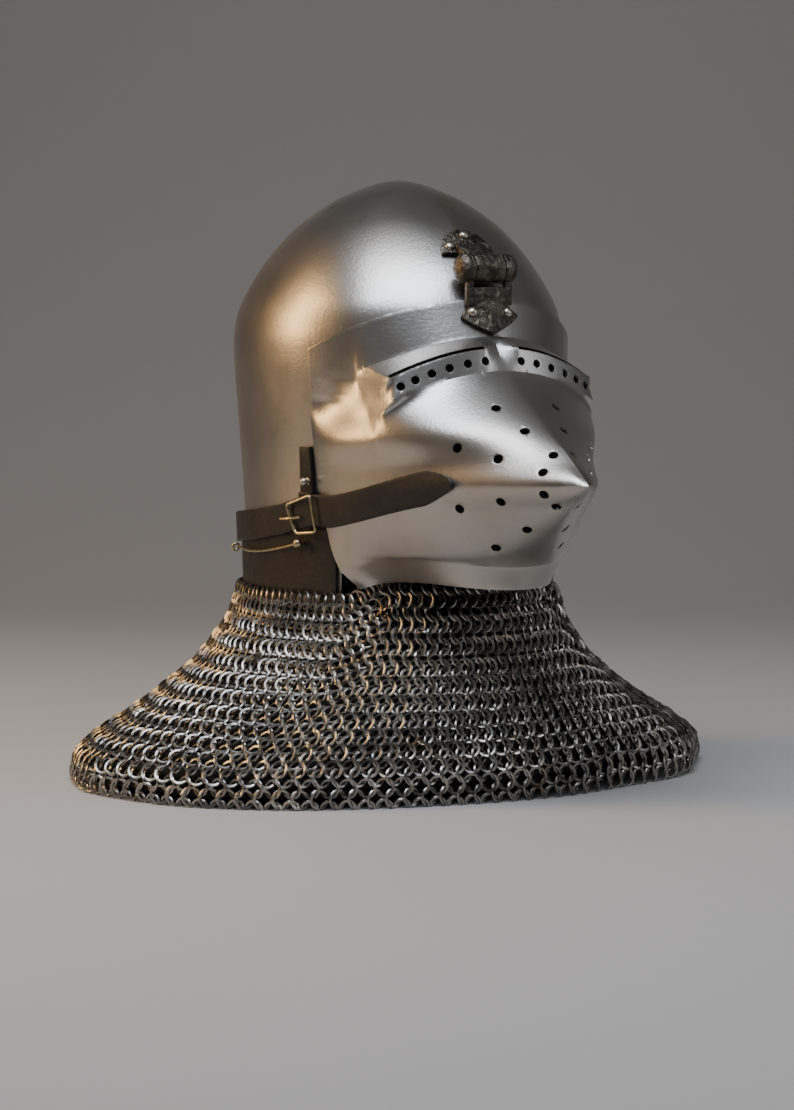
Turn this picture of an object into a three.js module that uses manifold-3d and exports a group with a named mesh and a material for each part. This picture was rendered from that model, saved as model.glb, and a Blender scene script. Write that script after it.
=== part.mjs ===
// A visored bascinet: keeled steel skull, pointed visor on a brow hinge, leather band and mail aventail.
// Millimetres, +Z up, the face looks along -Y, the wearer's right hand is -X.
// The origin is where the crown of the head carries the helmet, HEAD_SEAT above the skull's rim.
import * as THREE from 'three';
import { mergeVertices } from 'three/addons/utils/BufferGeometryUtils.js';
import Module from 'manifold-3d';

const wasm = await Module();
wasm.setup();

// Driving dimensions
const HEAD_SEAT = 250;
const PLATE = 2;
const GAP = 0.3;

// Skull: half width at each height above the rim
const SKULL_PROFILE = [
  { height: 0, halfWidth: 96.5 },
  { height: 57, halfWidth: 98 },
  { height: 115, halfWidth: 101.6 },
  { height: 160, halfWidth: 104.8 },
  { height: 182, halfWidth: 104 },
  { height: 200, halfWidth: 98.5 },
  { height: 224, halfWidth: 84.4 },
  { height: 245.5, halfWidth: 66.2 },
  { height: 262, halfWidth: 44.8 },
  { height: 270, halfWidth: 29.5 },
  { height: 276, halfWidth: 13.3 },
  { height: 278.6, halfWidth: 0 },
];
const FRONT_RATIO = 1.185;
const BACK_RATIO = 1.23;
const KEEL_FRONT = 2.2;
const KEEL_BACK = 1.2;
const KEEL_WIDTH = 34;
const FACE_HALF = 76;
const FACE_EDGE = 48;
const FACE_TOP = 176;
const FACE_CORNER = 40;

// Visor: sections from the top rim down to the lip
const VISOR_STANDOFF = 4;
const RIM_PLANE = { height: 134, slope: 0.517 };
const SIGHT = { bowForward: 0.0026, bowHeight: 0.0037, halfWidth: 72.5 };
const NOTCH = { halfWidth: 11, depth: 6.5 };
const BROW_SECTIONS = [
  { name: 'brow foot', forward: 134, height: 174, temple: [76, 94.5, 152], edgeAngle: 61, edgeHeight: 155 },
  { name: 'sight', forward: 144.5, height: 167.5, temple: [76, 94, 145], edgeAngle: 61, edgeHeight: 149 },
  { name: 'ledge', forward: 148.5, height: 152.5, temple: [76.4, 99, 135], edgeAngle: 61, edgeHeight: 140 },
];
const CHEEK_SECTION = {
  nose: [0, 174, 136],
  round: [30, 173, 134],
  flank: [62, 146, 129],
  corner: [75.5, 127, 124],
  temple: [77, 110, 125],
  edgeAngle: 60.9,
  edgeHeight: 130,
};
// nose and flank are [out, forward, height], out measured to the side
const BEAK_SECTIONS = [
  { nose: [0, 200, 119], round: [28, 198, 117], flank: [90, 146, 108], edgeAngle: 60.5, edgeHeight: 111 },
  { nose: [0, 228, 101], round: [18, 221, 100], flank: [86, 140, 92], edgeAngle: 59.7, edgeHeight: 93 },
  { nose: [0, 251, 85], round: [10, 244, 85], flank: [84, 140, 80], edgeAngle: 58.8, edgeHeight: 76 },
  { nose: [0, 230, 71], round: [15, 223, 70], flank: [80, 130, 62], edgeAngle: 57, edgeHeight: 62 },
  { nose: [0, 207, 56], round: [24, 203, 56], flank: [74, 125, 50], edgeAngle: 55.4, edgeHeight: 50 },
  { nose: [0, 185, 42], round: [34, 183, 41], flank: [64, 118, 36], edgeAngle: 53.6, edgeHeight: 37 },
  { nose: [0, 168, 31], round: [45, 168, 31], flank: [58, 118, 43], edgeAngle: 50.7, edgeHeight: 25 },
  { nose: [0, 167, 17], round: [46, 167, 17], flank: [43, 98, 25], edgeAngle: 43.4, edgeHeight: 14 },
];
const DART_TIP = 0.72;
const LOWER_STANDOFF = 5.5;
const HOLE_RADIUS = 3.1;
const SIGHT_HOLE_RADIUS = 2.7;

// Hinge on the brow
const HINGE = { forward: 122.5, height: 216.5, radius: 9.8, middle: 20.8, side: 4, dome: 6.5, pin: 3 };
const LEAF = { halfWidth: 17.6, seat: 0.8, thickness: 2.8, rivetRadius: 3.2, rivetHeight: 2.3, shank: 1.6 };

// Leather
const LEATHER = 2.5;
const BAND = { bottom: 5, frontRise: 4, top: 52, endAngle: 53 };
const TAB = { rear: 66.5, front: 61.2, top: 104 };
const STRAP = { width: 20, thickness: 2.8, overBand: 3.35, overVisor: 5.8, split: 67.5, leftSplit: 62 };
const STRAP_HEIGHTS = [
  { angle: 61, height: 64 },
  { angle: 74, height: 57 },
  { angle: 92, height: 51.4 },
  { angle: 121, height: 46.5 },
  { angle: 180, height: 43 },
];
const STRAP_TIP = { out: 50, height: 83.7, taper: 9 };
const VISOR_EDGE = { angle: 60.5, out: 84.5, strapOut: 86, strapHeight: 63.7 };
const CHEEK_GAP = 0.9;
const LEFT_END = { out: 74, rivetOut: 78 };

// Wire buckle: corners by angle round the skull, height and distance from the skull
const BUCKLE = {
  wire: 1,
  corners: [[69.6, 67, 10.5], [59.3, 74.2, 11.7], [57.5, 50.2, 11.7], [65.9, 48.8, 10.5]],
};
const CHAPE = { rear: 66.6, front: 61.4, top: 75, bottom: 51, low: 3.5, high: 5.4 };
const PRONG = [[71.2, 57.9, 12.6], [67.6, 58.5, 12.7], [64, 59.4, 10.2]];

// Ball-headed studs and wires that hold the band, as angle, height and distance from the skull
const WIRE = { radius: 0.9, ball: 3.2, smallBall: 2.8, eye: 2.1 };
const WIRE_ROUTE = [[66.2, 42, 8], [74, 38.6, 6.6], [84, 35.4, 5.6], [97, 33.6, 5.6], [108, 34.6, 6.8]];
const LOWER_STUD = { angle: 66.2, height: 42, radius: 1.6, length: 1.1 };
const UPPER_STUD = { angle: 63, height: 82 };

// Aventail: how far the mail spreads to the sides from the skull's rim at each height
const SKIRT_PROFILE = [
  { height: 4.7, spread: 5 },
  { height: -13, spread: 11.6 },
  { height: -24, spread: 20.4 },
  { height: -38, spread: 31.5 },
  { height: -47.5, spread: 42.8 },
  { height: -58, spread: 57 },
  { height: -68, spread: 71.6 },
  { height: -84, spread: 99.5 },
  { height: -92, spread: 112 },
  { height: -100, spread: 121 },
  { height: -110, spread: 124.5 },
  { height: -118, spread: 124 },
];
const MAIL = 5;
const SKIRT = { columns: 40, frontRise: 19, frontIn: 14, riseFrom: 48, riseTo: 34, front: 0.26, back: 0.38 };
// Radial folds of the mail: angle from the face, depth at the hem, half width in degrees, lift of the hem
const FOLDS = [
  { angle: -8, depth: 5, width: 7, lift: 2 },
  { angle: -26, depth: -6, width: 8, lift: 6 },
  { angle: -44, depth: 6, width: 8, lift: 8 },
  { angle: -62, depth: -5, width: 9, lift: 6 },
  { angle: 35, depth: 4, width: 10, lift: 0 },
  { angle: 75, depth: -4, width: 12, lift: 1 },
  { angle: 120, depth: 5, width: 12, lift: 2 },
  { angle: 165, depth: -5, width: 12, lift: 2 },
  { angle: -110, depth: 5, width: 12, lift: 2 },
  { angle: -145, depth: -4, width: 10, lift: 1 },
];

const radians = THREE.MathUtils.degToRad;

// Colours and finishes
const steel = { color: 0xb9b6b0, roughness: 0.32, metalness: 1 };
const forgedIron = { color: 0x4b4640, roughness: 0.55, metalness: 0.9 };
const paleSteel = { color: 0xc9c4b6, roughness: 0.35, metalness: 1 };
const leather = { color: 0x2a231a, roughness: 0.7, metalness: 0 };
const brassWire = { color: 0xb8a886, roughness: 0.35, metalness: 1 };
const mailSteel = { color: 0x6d6a66, roughness: 0.45, metalness: 0.9 };

// A closed body from a list of triangles, with shared corners merged and slivers dropped
function geometryOf(triangles) {
  const kept = triangles.filter(([a, b, c]) => {
    const area = b.clone().sub(a).cross(c.clone().sub(a)).length();
    return area > 1e-6;
  });
  const geometry = new THREE.BufferGeometry();
  const numbers = kept.flat().flatMap((p) => p.toArray());
  geometry.setAttribute('position', new THREE.Float32BufferAttribute(numbers, 3));
  return mergeVertices(geometry, 1e-3);
}

function solidOf(geometry) {
  const plain = geometry.clone();
  plain.deleteAttribute('normal');
  plain.deleteAttribute('uv');
  const merged = mergeVertices(plain, 1e-4);
  const vertProperties = new Float32Array(merged.attributes.position.array);
  const triVerts = new Uint32Array(merged.index.array);
  return new wasm.Manifold(new wasm.Mesh({ numProp: 3, vertProperties, triVerts }));
}

function geometryFrom(solid) {
  const mesh = solid.getMesh();
  const geometry = new THREE.BufferGeometry();
  geometry.setAttribute('position', new THREE.Float32BufferAttribute(mesh.vertProperties, 3));
  geometry.setIndex(new THREE.BufferAttribute(new Uint32Array(mesh.triVerts), 1));
  return geometry;
}

function cut(geometry, tools) {
  return geometryFrom(tools.reduce((solid, tool) => solid.subtract(solidOf(tool)), solidOf(geometry)));
}

function join(geometries) {
  const [first, ...rest] = geometries.map(solidOf);
  return geometryFrom(rest.reduce((solid, other) => solid.add(other), first));
}

// Outward normals of a grid of points, by central differences; rows run down, columns run round
function gridNormals(grid, closed) {
  const rows = grid.length;
  const columns = grid[0].length;
  const at = (r, c) => {
    const row = grid[THREE.MathUtils.clamp(r, 0, rows - 1)];
    return closed ? row[(c + columns) % columns] : row[THREE.MathUtils.clamp(c, 0, columns - 1)];
  };
  return grid.map((row, r) => row.map((point, c) => {
    const down = at(r + 1, c).clone().sub(at(r - 1, c));
    const round = at(r, c + 1).clone().sub(at(r, c - 1));
    return down.cross(round).normalize();
  }));
}

function offsetGrid(grid, normals, distance) {
  return grid.map((row, r) => row.map((point, c) => point.clone().addScaledVector(normals[r][c], distance)));
}

// A plate between an outer and an inner grid, closed along every free border; the creased row's diagonals
// run the other way
function plateBetween(outer, inner, closed, capped, creasedRow = -1) {
  const triangles = [];
  const rows = outer.length;
  const columns = outer[0].length;
  const spans = closed ? columns : columns - 1;
  const quad = (a, b, c, d) => triangles.push([a, b, c], [a, c, d]);
  for (let r = 0; r < rows - 1; r += 1) {
    for (let c = 0; c < spans; c += 1) {
      const n = (c + 1) % columns;
      const mirrored = !closed && (c < (columns - 1) / 2) !== (r === creasedRow);
      const [p, q, s, t] = [outer[r][c], outer[r][n], outer[r + 1][n], outer[r + 1][c]];
      const [pi, qi, si, ti] = [inner[r][c], inner[r][n], inner[r + 1][n], inner[r + 1][c]];
      if (mirrored) {
        triangles.push([q, p, t], [q, t, s], [pi, qi, ti], [ti, qi, si]);
      } else {
        triangles.push([p, t, s], [p, s, q], [pi, si, ti], [pi, qi, si]);
      }
    }
  }
  for (let c = 0; c < spans; c += 1) {
    const n = (c + 1) % columns;
    const last = rows - 1;
    if (!capped) quad(outer[0][n], inner[0][n], inner[0][c], outer[0][c]);
    quad(outer[last][c], inner[last][c], inner[last][n], outer[last][n]);
  }
  if (!closed) {
    const end = columns - 1;
    for (let r = 0; r < rows - 1; r += 1) {
      quad(outer[r][0], inner[r][0], inner[r + 1][0], outer[r + 1][0]);
      quad(outer[r + 1][end], inner[r + 1][end], inner[r][end], outer[r][end]);
    }
  }
  return geometryOf(triangles);
}

// A smooth value read from a table of rows by its height column
function profile(table, column) {
  const points = table.map((row) => new THREE.Vector2(row.height, row[column]));
  const samples = new THREE.SplineCurve(points).getPoints(240);
  const rising = samples[samples.length - 1].x > samples[0].x;
  return (height) => {
    const i = samples.findIndex((s) => (rising ? s.x >= height : s.x <= height));
    if (i < 0) return samples[samples.length - 1].y;
    if (i === 0) return samples[0].y;
    const [a, b] = [samples[i - 1], samples[i]];
    return THREE.MathUtils.lerp(a.y, b.y, (height - a.x) / (b.x - a.x));
  };
}

const skullHalfWidth = profile(SKULL_PROFILE, 'halfWidth');
const skirtSpread = profile(SKIRT_PROFILE, 'spread');

// A point round the skull at an angle from the face, 90 at the wearer's right
function skullPoint(height, angle, standoff) {
  const width = skullHalfWidth(height);
  const a = radians(angle);
  const length = width * (Math.cos(a) > 0 ? FRONT_RATIO : BACK_RATIO);
  const side = (width + standoff) * Math.sin(a);
  const keel = Math.cos(a) > 0 ? KEEL_FRONT : KEEL_BACK;
  const rise = keel * Math.max(0, 1 - Math.abs(side) / KEEL_WIDTH) ** 2 * Math.min(1, width / 20);
  const forward = (length + standoff) * Math.cos(a);
  return new THREE.Vector3(-side, -forward - Math.sign(forward) * rise, height);
}

// The same, found by its sideways distance
function skullPointAt(height, out, standoff) {
  const width = skullHalfWidth(height) + standoff;
  const angle = Math.asin(THREE.MathUtils.clamp(out / width, -1, 1));
  return skullPoint(height, THREE.MathUtils.radToDeg(angle), standoff);
}

// Skull: one shell from the crown to the rim, with the face opening cut out
function skullGeometry() {
  const columns = 40;
  const sections = SKULL_PROFILE.map((row) => new THREE.Vector2(row.halfWidth, row.height));
  const curve = new THREE.SplineCurve(sections);
  const heights = curve.getSpacedPoints(18).map((p) => p.y).reverse();
  const crown = new THREE.Vector3(0, 0, heights[0] + 0.6);
  const grid = heights.map((height, r) => Array.from({ length: columns }, (_, c) => (
    r === 0 ? crown : skullPoint(height, -(360 * c) / columns, 0)
  )));
  const normals = gridNormals(grid, true);
  normals[0] = normals[0].map(() => new THREE.Vector3(0, 0, 1));
  const shell = plateBetween(grid, offsetGrid(grid, normals, -PLATE), true, true);
  const opening = new THREE.Shape();
  opening.moveTo(-FACE_HALF, -20);
  opening.lineTo(FACE_HALF, -20);
  opening.lineTo(FACE_HALF, FACE_TOP - FACE_CORNER);
  opening.quadraticCurveTo(FACE_HALF, FACE_TOP, 0, FACE_TOP);
  opening.quadraticCurveTo(-FACE_HALF, FACE_TOP, -FACE_HALF, FACE_TOP - FACE_CORNER);
  const tool = new THREE.ExtrudeGeometry(opening, { depth: 120, bevelEnabled: false, curveSegments: 8 });
  tool.rotateX(Math.PI / 2);
  tool.translate(0, -FACE_EDGE, 0);
  return { shell, tool };
}

function templeArc(section, temple, t) {
  const start = THREE.MathUtils.radToDeg(Math.atan2(section.temple[0] / 108, section.temple[1] / 132));
  const angle = THREE.MathUtils.lerp(start, section.edgeAngle, t);
  const height = THREE.MathUtils.lerp(temple.z, section.edgeHeight, t);
  return skullPoint(height, angle, VISOR_STANDOFF).lerp(temple, (1 - t) ** 4);
}

// A point [out, forward, height] on the wearer's right
function rightSide([out, forward, height]) {
  return new THREE.Vector3(-out, -forward, height);
}

// One visor section, read as a front, a wall and a rear part from the middle to the wearer's right edge
function browSection(section) {
  const front = (t) => {
    const out = t * SIGHT.halfWidth;
    const height = section.height - SIGHT.bowHeight * out * out;
    if (section.name === 'brow foot') return skullPointAt(height, out, VISOR_STANDOFF + 3);
    const dip = section.name === 'sight' ? NOTCH.depth * Math.max(0, 1 - out / NOTCH.halfWidth) : 0;
    return rightSide([out, section.forward - SIGHT.bowForward * out * out - dip, height]);
  };
  const temple = rightSide(section.temple);
  return (part, t) => {
    if (part === 'front') return front(t);
    return part === 'wall' ? front(1).lerp(temple, t) : templeArc(section, temple, t);
  };
}

function cheekSection(section) {
  const [nose, round, flank, corner, temple] = ['nose', 'round', 'flank', 'corner', 'temple'].map(
    (key) => rightSide(section[key]),
  );
  const curve = new THREE.CubicBezierCurve3(nose, round, flank, corner);
  return (part, t) => {
    if (part === 'front') return curve.getPoint(t);
    return part === 'wall' ? corner.clone().lerp(temple, t) : templeArc(section, temple, t);
  };
}

function beakSection(section) {
  const points = ['nose', 'round', 'flank'].map((key) => rightSide(section[key]));
  const standoff = section.edgeHeight > 70 ? VISOR_STANDOFF : LOWER_STANDOFF;
  const edge = skullPoint(section.edgeHeight, section.edgeAngle, standoff);
  const curve = new THREE.CubicBezierCurve3(...points, edge);
  const spans = { front: [0, DART_TIP], wall: [DART_TIP, DART_TIP + 0.02], rear: [DART_TIP + 0.02, 1] };
  return (part, t) => curve.getPoint(THREE.MathUtils.lerp(...spans[part], t));
}

function rimSection() {
  return (part, t) => {
    const spans = { front: [0, 43], wall: [43, 45], rear: [45, 61] };
    const angle = THREE.MathUtils.lerp(...spans[part], t);
    let height = 190;
    for (let i = 0; i < 8; i += 1) {
      height = RIM_PLANE.height - RIM_PLANE.slope * skullPoint(height, angle, VISOR_STANDOFF).y;
    }
    return skullPoint(height, angle, VISOR_STANDOFF);
  };
}

const VISOR_ROWS = [
  rimSection(),
  ...BROW_SECTIONS.map(browSection),
  cheekSection(CHEEK_SECTION),
  ...BEAK_SECTIONS.map(beakSection),
];
const COLUMN_PLAN = [
  ...[0, 1, 2, 3, 4, 5, 6, 7, 8, 9, 10].map((i) => ['front', i < 2 ? (i * NOTCH.halfWidth) / SIGHT.halfWidth
    : THREE.MathUtils.lerp(NOTCH.halfWidth / SIGHT.halfWidth, 1, (i - 1) / 9)]),
  ['wall', 1],
  ...[1, 2, 3, 4].map((i) => ['rear', i / 4]),
];

function visorGrid() {
  return VISOR_ROWS.map((section) => {
    const half = COLUMN_PLAN.map(([part, t]) => section(part, t));
    const left = half.slice(1).map((p) => new THREE.Vector3(-p.x, p.y, p.z));
    return [...half.reverse(), ...left];
  });
}

const visorOuter = visorGrid();
const visorNormals = gridNormals(visorOuter, false);

// The visor's surface at a place along a row, counted in grid steps from the middle to the wearer's right
function visorPlace(row, step, standoff) {
  const columns = visorOuter[0].length;
  const c = THREE.MathUtils.clamp((columns - 1) / 2 - step, 0, columns - 1.001);
  const r = THREE.MathUtils.clamp(row, 0, visorOuter.length - 1.001);
  const [r0, c0] = [Math.floor(r), Math.floor(c)];
  const blend = (grid) => {
    const top = grid[r0][c0].clone().lerp(grid[r0][c0 + 1], c - c0);
    const low = grid[r0 + 1][c0].clone().lerp(grid[r0 + 1][c0 + 1], c - c0);
    return top.lerp(low, r - r0);
  };
  const normal = blend(visorNormals).normalize();
  return { point: blend(visorOuter).addScaledVector(normal, standoff), normal };
}

function turnFromY(direction) {
  const up = new THREE.Vector3(0, 1, 0);
  return new THREE.Quaternion().setFromUnitVectors(up, direction.clone().normalize());
}

// A pin or drill along a direction, centred on a point
function rod(radius, length, point, direction, sides) {
  const geometry = new THREE.CylinderGeometry(radius, radius, length, sides);
  geometry.applyQuaternion(turnFromY(direction));
  return geometry.translate(point.x, point.y, point.z);
}

// A lathed profile of [radius, height] stood on a point along a direction
function turned(points, point, direction, segments) {
  const geometry = new THREE.LatheGeometry(points.map(([r, h]) => new THREE.Vector2(r, h)), segments);
  geometry.applyQuaternion(turnFromY(direction));
  return geometry.translate(point.x, point.y, point.z);
}

// A round wire along a path
function wire(points, radius, sides, steps) {
  const ring = new THREE.Shape();
  for (let i = 0; i < sides; i += 1) {
    const a = (2 * Math.PI * i) / sides;
    const [x, y] = [radius * Math.cos(a), radius * Math.sin(a)];
    if (i === 0) ring.moveTo(x, y);
    else ring.lineTo(x, y);
  }
  const path = new THREE.CatmullRomCurve3(points, false, 'centripetal');
  const options = { steps, extrudePath: path, bevelEnabled: false, curveSegments: 1 };
  return new THREE.ExtrudeGeometry(ring, options);
}

// A strip of leather or plate between two levels over a surface; place(r, c, level) gives its points
function strip(rows, columns, place, low, high) {
  const grid = (level) => Array.from({ length: rows }, (_, r) => (
    Array.from({ length: columns }, (_, c) => place(r / (rows - 1), c / (columns - 1), level))
  ));
  return plateBetween(grid(high), grid(low), false, false);
}

// The outward direction of the skull at a height and angle
function skullNormal(height, angle) {
  const down = skullPoint(height - 2, angle, 0).sub(skullPoint(height + 2, angle, 0));
  const round = skullPoint(height, angle - 1, 0).sub(skullPoint(height, angle + 1, 0));
  return down.cross(round).normalize();
}

function skullLevel(height, angle, level) {
  return skullPoint(height, angle, 0).addScaledVector(skullNormal(height, angle), level);
}

const helmet = new THREE.Group();
helmet.position.z = -HEAD_SEAT;

function addPiece(name, geometry, finish) {
  const mesh = new THREE.Mesh(geometry, new THREE.MeshStandardMaterial(finish));
  mesh.name = name;
  helmet.add(mesh);
  return mesh;
}

// Hinge: a leaf on the brow with the middle knuckle, a leaf on the visor with the two outer ones
const pinCentre = new THREE.Vector3(0, -HINGE.forward, HINGE.height);
const sideways = new THREE.Vector3(1, 0, 0);

function upperLeafPlace(r, c, level) {
  const height = THREE.MathUtils.lerp(239.5, 225, r);
  const half = LEAF.halfWidth * Math.sqrt(Math.max(0.03, 1 - (1 - r) ** 2));
  const out = THREE.MathUtils.lerp(half, -half, c);
  const angle = THREE.MathUtils.radToDeg(Math.asin(out / skullHalfWidth(height)));
  return skullLevel(height, angle, level);
}

// Grid steps on the visor for a distance from its middle line
function visorStepAt(row, out) {
  const side = Math.sign(out);
  let [low, high] = [0, 16];
  for (let i = 0; i < 24; i += 1) {
    const middle = (low + high) / 2;
    if (-visorPlace(row, middle, 0).point.x < Math.abs(out)) low = middle;
    else high = middle;
  }
  return side * low;
}

// The visor's surface below the sights at a distance from its middle line and a height
function visorAt(out, height, level) {
  let [low, high] = [3, VISOR_ROWS.length - 1.01];
  for (let i = 0; i < 20; i += 1) {
    const row = (low + high) / 2;
    if (visorPlace(row, visorStepAt(row, out), 0).point.z > height) low = row;
    else high = row;
  }
  return visorPlace(low, visorStepAt(low, out), level);
}

const LOWER_LEAF = [
  { row: 0.06, half: 15.5 },
  { row: 0.2, half: 15.5 },
  { row: 0.4, half: 19.7 },
  { row: 0.5, half: 17 },
  { row: 0.95, half: 1.5 },
];

function lowerLeafPlace(r, c, level) {
  const i = Math.round(r * (LOWER_LEAF.length - 1));
  const { row, half } = LOWER_LEAF[i];
  const out = THREE.MathUtils.lerp(half, -half, c);
  return visorPlace(row, visorStepAt(row, out), level).point;
}

function knuckle(from, to) {
  return rod(HINGE.radius, to - from, new THREE.Vector3((from + to) / 2, 0, 0).add(pinCentre), sideways, 16);
}

function outerKnuckle(side) {
  const start = HINGE.middle / 2 + GAP;
  const end = start + HINGE.side;
  const points = [[0, start], [HINGE.radius, start], [HINGE.radius, end]];
  for (let i = 1; i <= 4; i += 1) {
    const a = (Math.PI / 2) * (i / 4);
    points.push([i === 4 ? 0 : HINGE.radius * Math.cos(a), end + HINGE.dome * Math.sin(a)]);
  }
  return turned(points, pinCentre, new THREE.Vector3(side, 0, 0), 16);
}

// A rib that joins a leaf to its knuckle
function rib(centreX, width, from, to, thickness) {
  const along = to.clone().sub(from);
  const box = new THREE.BoxGeometry(width, along.length(), thickness);
  box.applyQuaternion(turnFromY(along));
  const middle = from.clone().lerp(to, 0.5);
  return box.translate(centreX, middle.y, middle.z);
}

const upperRivets = [
  { name: 'hinge_rivet_upper_1', height: 235.8, out: 0 },
  { name: 'hinge_rivet_upper_2', height: 228.6, out: 11.8 },
  { name: 'hinge_rivet_upper_3', height: 228.6, out: -11.8 },
].map((rivet) => {
  const angle = THREE.MathUtils.radToDeg(Math.asin(rivet.out / skullHalfWidth(rivet.height)));
  return { ...rivet, point: skullPoint(rivet.height, angle, 0), normal: skullNormal(rivet.height, angle) };
});
const lowerRivets = [
  { name: 'hinge_rivet_lower_1', row: 0.36, out: 11.8 },
  { name: 'hinge_rivet_lower_2', row: 0.36, out: -11.8 },
].map((rivet) => ({ ...rivet, ...visorPlace(rivet.row, visorStepAt(rivet.row, rivet.out), 0) }));

function rivetHole({ point, normal }) {
  return rod(LEAF.shank + GAP, 20, point, normal, 8);
}

function rivetGeometry({ point, normal }) {
  const seat = LEAF.seat + LEAF.thickness + GAP;
  const tail = -PLATE - 0.6;
  const points = [[0, tail], [LEAF.shank, tail], [LEAF.shank, seat], [LEAF.rivetRadius, seat]];
  for (let i = 1; i <= 3; i += 1) {
    const a = (Math.PI / 2) * (i / 3);
    points.push([i === 3 ? 0 : LEAF.rivetRadius * Math.cos(a), seat + LEAF.rivetHeight * Math.sin(a)]);
  }
  return turned(points, point, normal, 10);
}

const pinBore = rod(HINGE.pin + GAP, HINGE.middle + 7, pinCentre, sideways, 12);
const middleKnuckle = knuckle(-HINGE.middle / 2, HINGE.middle / 2);
const upperRibEnds = [new THREE.Vector3(0, -118, 222), new THREE.Vector3(0, -101.5, 231.5)];
const upperRib = rib(0, HINGE.middle, ...upperRibEnds, 4);
const upperLeaf = strip(6, 7, upperLeafPlace, LEAF.seat, LEAF.seat + LEAF.thickness);
const upperHoles = [pinBore, ...upperRivets.map(rivetHole)];
const upperBody = cut(join([upperLeaf, middleKnuckle, upperRib]), upperHoles);
const lowerLeaf = strip(LOWER_LEAF.length, 7, lowerLeafPlace, LEAF.seat, LEAF.seat + LEAF.thickness);
const [ribStart, ribEnd] = [new THREE.Vector3(0, -126.5, 209), new THREE.Vector3(0, -126.6, 193.5)];
const lowerRibs = [-13.6, 13.6].map((x) => rib(x, 5, ribStart, ribEnd, 3.4));
const lowerBody = cut(
  join([lowerLeaf, outerKnuckle(-1), outerKnuckle(1), ...lowerRibs]),
  [pinBore, ...lowerRivets.map(rivetHole)],
);
const sweep = rod(HINGE.radius + GAP, HINGE.middle + 2 * GAP, pinCentre, sideways, 16);

// Skull and visor shells
const { shell: skullShell, tool: faceTool } = skullGeometry();
addPiece('skull', cut(skullShell, [faceTool, ...upperRivets.map(rivetHole)]), steel);

const SIGHT_HOLES = [12.8, 24.6, 36.4, 47.5, 57.6, 66.3];
// Four holes on each side of the snout at three stations
const BREATH_HOLES = [
  { out: 21.1, height: 130.1 },
  { out: 13.8, height: 116.5 },
  { out: 7, height: 102.6 },
  { out: 47.5, height: 106 },
  { out: 31.6, height: 99.8 },
  { out: 16.4, height: 92.6 },
  { out: 45.5, height: 68.8 },
  { out: 31.6, height: 73.9 },
  { out: 16.9, height: 79 },
  { out: 23, height: 44.5 },
  { out: 13.6, height: 56.5 },
  { out: 7.7, height: 71.6 },
];

function drill({ point, normal }, radius) {
  return rod(radius, 14, point, normal, 8);
}

// The sight is a gap cut along the brow on each side of the notch
function sightTool(side) {
  const columns = 9;
  const place = (level) => (r, c) => {
    const out = THREE.MathUtils.lerp(NOTCH.halfWidth + 1, SIGHT.halfWidth - 1, c);
    const height = BROW_SECTIONS[1].height - SIGHT.bowHeight * out * out;
    return new THREE.Vector3(-out, -level, height + (r === 0 ? 0.9 : -0.9));
  };
  const grid = (level) => [0, 1].map((r) => Array.from({ length: columns }, (_, c) => (
    place(level)(r, (side > 0 ? columns - 1 - c : c) / (columns - 1)).multiply(new THREE.Vector3(side, 1, 1))
  )));
  const [front, back] = [grid(165), grid(118)];
  return plateBetween(front, back, false, false);
}

// Seat of the rivet that holds the strap's left end
const leftSeat = visorAt(-LEFT_END.rivetOut, cheekHeight(LEFT_END.rivetOut), 0);
const sidesOf = (holes, make) => holes.flatMap((hole) => [make(hole, 1), make(hole, -1)]);
const LEDGE_ROW = 2.55;
const sightHole = (out) => drill(visorPlace(LEDGE_ROW, visorStepAt(LEDGE_ROW, out), 0), SIGHT_HOLE_RADIUS);
const visorTools = [
  sightTool(1),
  sightTool(-1),
  ...sidesOf(SIGHT_HOLES, (out, side) => sightHole(side * out)),
  ...sidesOf(BREATH_HOLES, ({ out, height }, side) => drill(visorAt(side * out, height, 0), HOLE_RADIUS)),
  ...[...lowerRivets, leftSeat].map(rivetHole),
];
const NOTCH_ROW = 2;
const visorInner = offsetGrid(visorOuter, visorNormals, -PLATE);
const visorShell = plateBetween(visorOuter, visorInner, false, false, NOTCH_ROW);
addPiece('visor', cut(visorShell, visorTools), steel);
addPiece('hinge_leaf_upper', upperBody, forgedIron);
addPiece('hinge_leaf_lower', cut(lowerBody, [sweep]), forgedIron);
addPiece('hinge_pin', rod(HINGE.pin, HINGE.middle + 6, pinCentre, sideways, 12), forgedIron);
upperRivets.forEach((rivet) => addPiece(rivet.name, rivetGeometry(rivet), paleSteel));
lowerRivets.forEach((rivet) => addPiece(rivet.name, rivetGeometry(rivet), paleSteel));

// Leather band round the lower edge, with a rise beside the face opening on each side
const SIDE_ANGLES = [76, 84, 92, 100, 109, 118, 127, 136, 145, 153, 161, 168, 174];

// Stations round the back from one side's own first angles to the other's
function stationsRound(left, right) {
  const mirrored = [...right, ...SIDE_ANGLES].reverse().map((angle) => 360 - angle);
  return [...left, ...SIDE_ANGLES, 180, ...mirrored];
}

function bandGeometry() {
  const middleTab = (TAB.front + TAB.rear) / 2;
  const ends = [BAND.endAngle, TAB.front - 0.4, TAB.front, middleTab, TAB.rear, TAB.rear + 0.4];
  const angles = stationsRound(ends, ends);
  const place = (r, c, level) => {
    const angle = angles[Math.round(c * (angles.length - 1))];
    const round = angle > 180 ? 360 - angle : angle;
    const top = round >= TAB.front && round <= TAB.rear ? TAB.top : BAND.top;
    const rise = BAND.frontRise * THREE.MathUtils.smoothstep(-round, -110, -60);
    return skullLevel(THREE.MathUtils.lerp(top, BAND.bottom + rise, r), -angle, level);
  };
  return strip(4, angles.length, place, GAP + 0.1, GAP + 0.1 + LEATHER);
}

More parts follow.
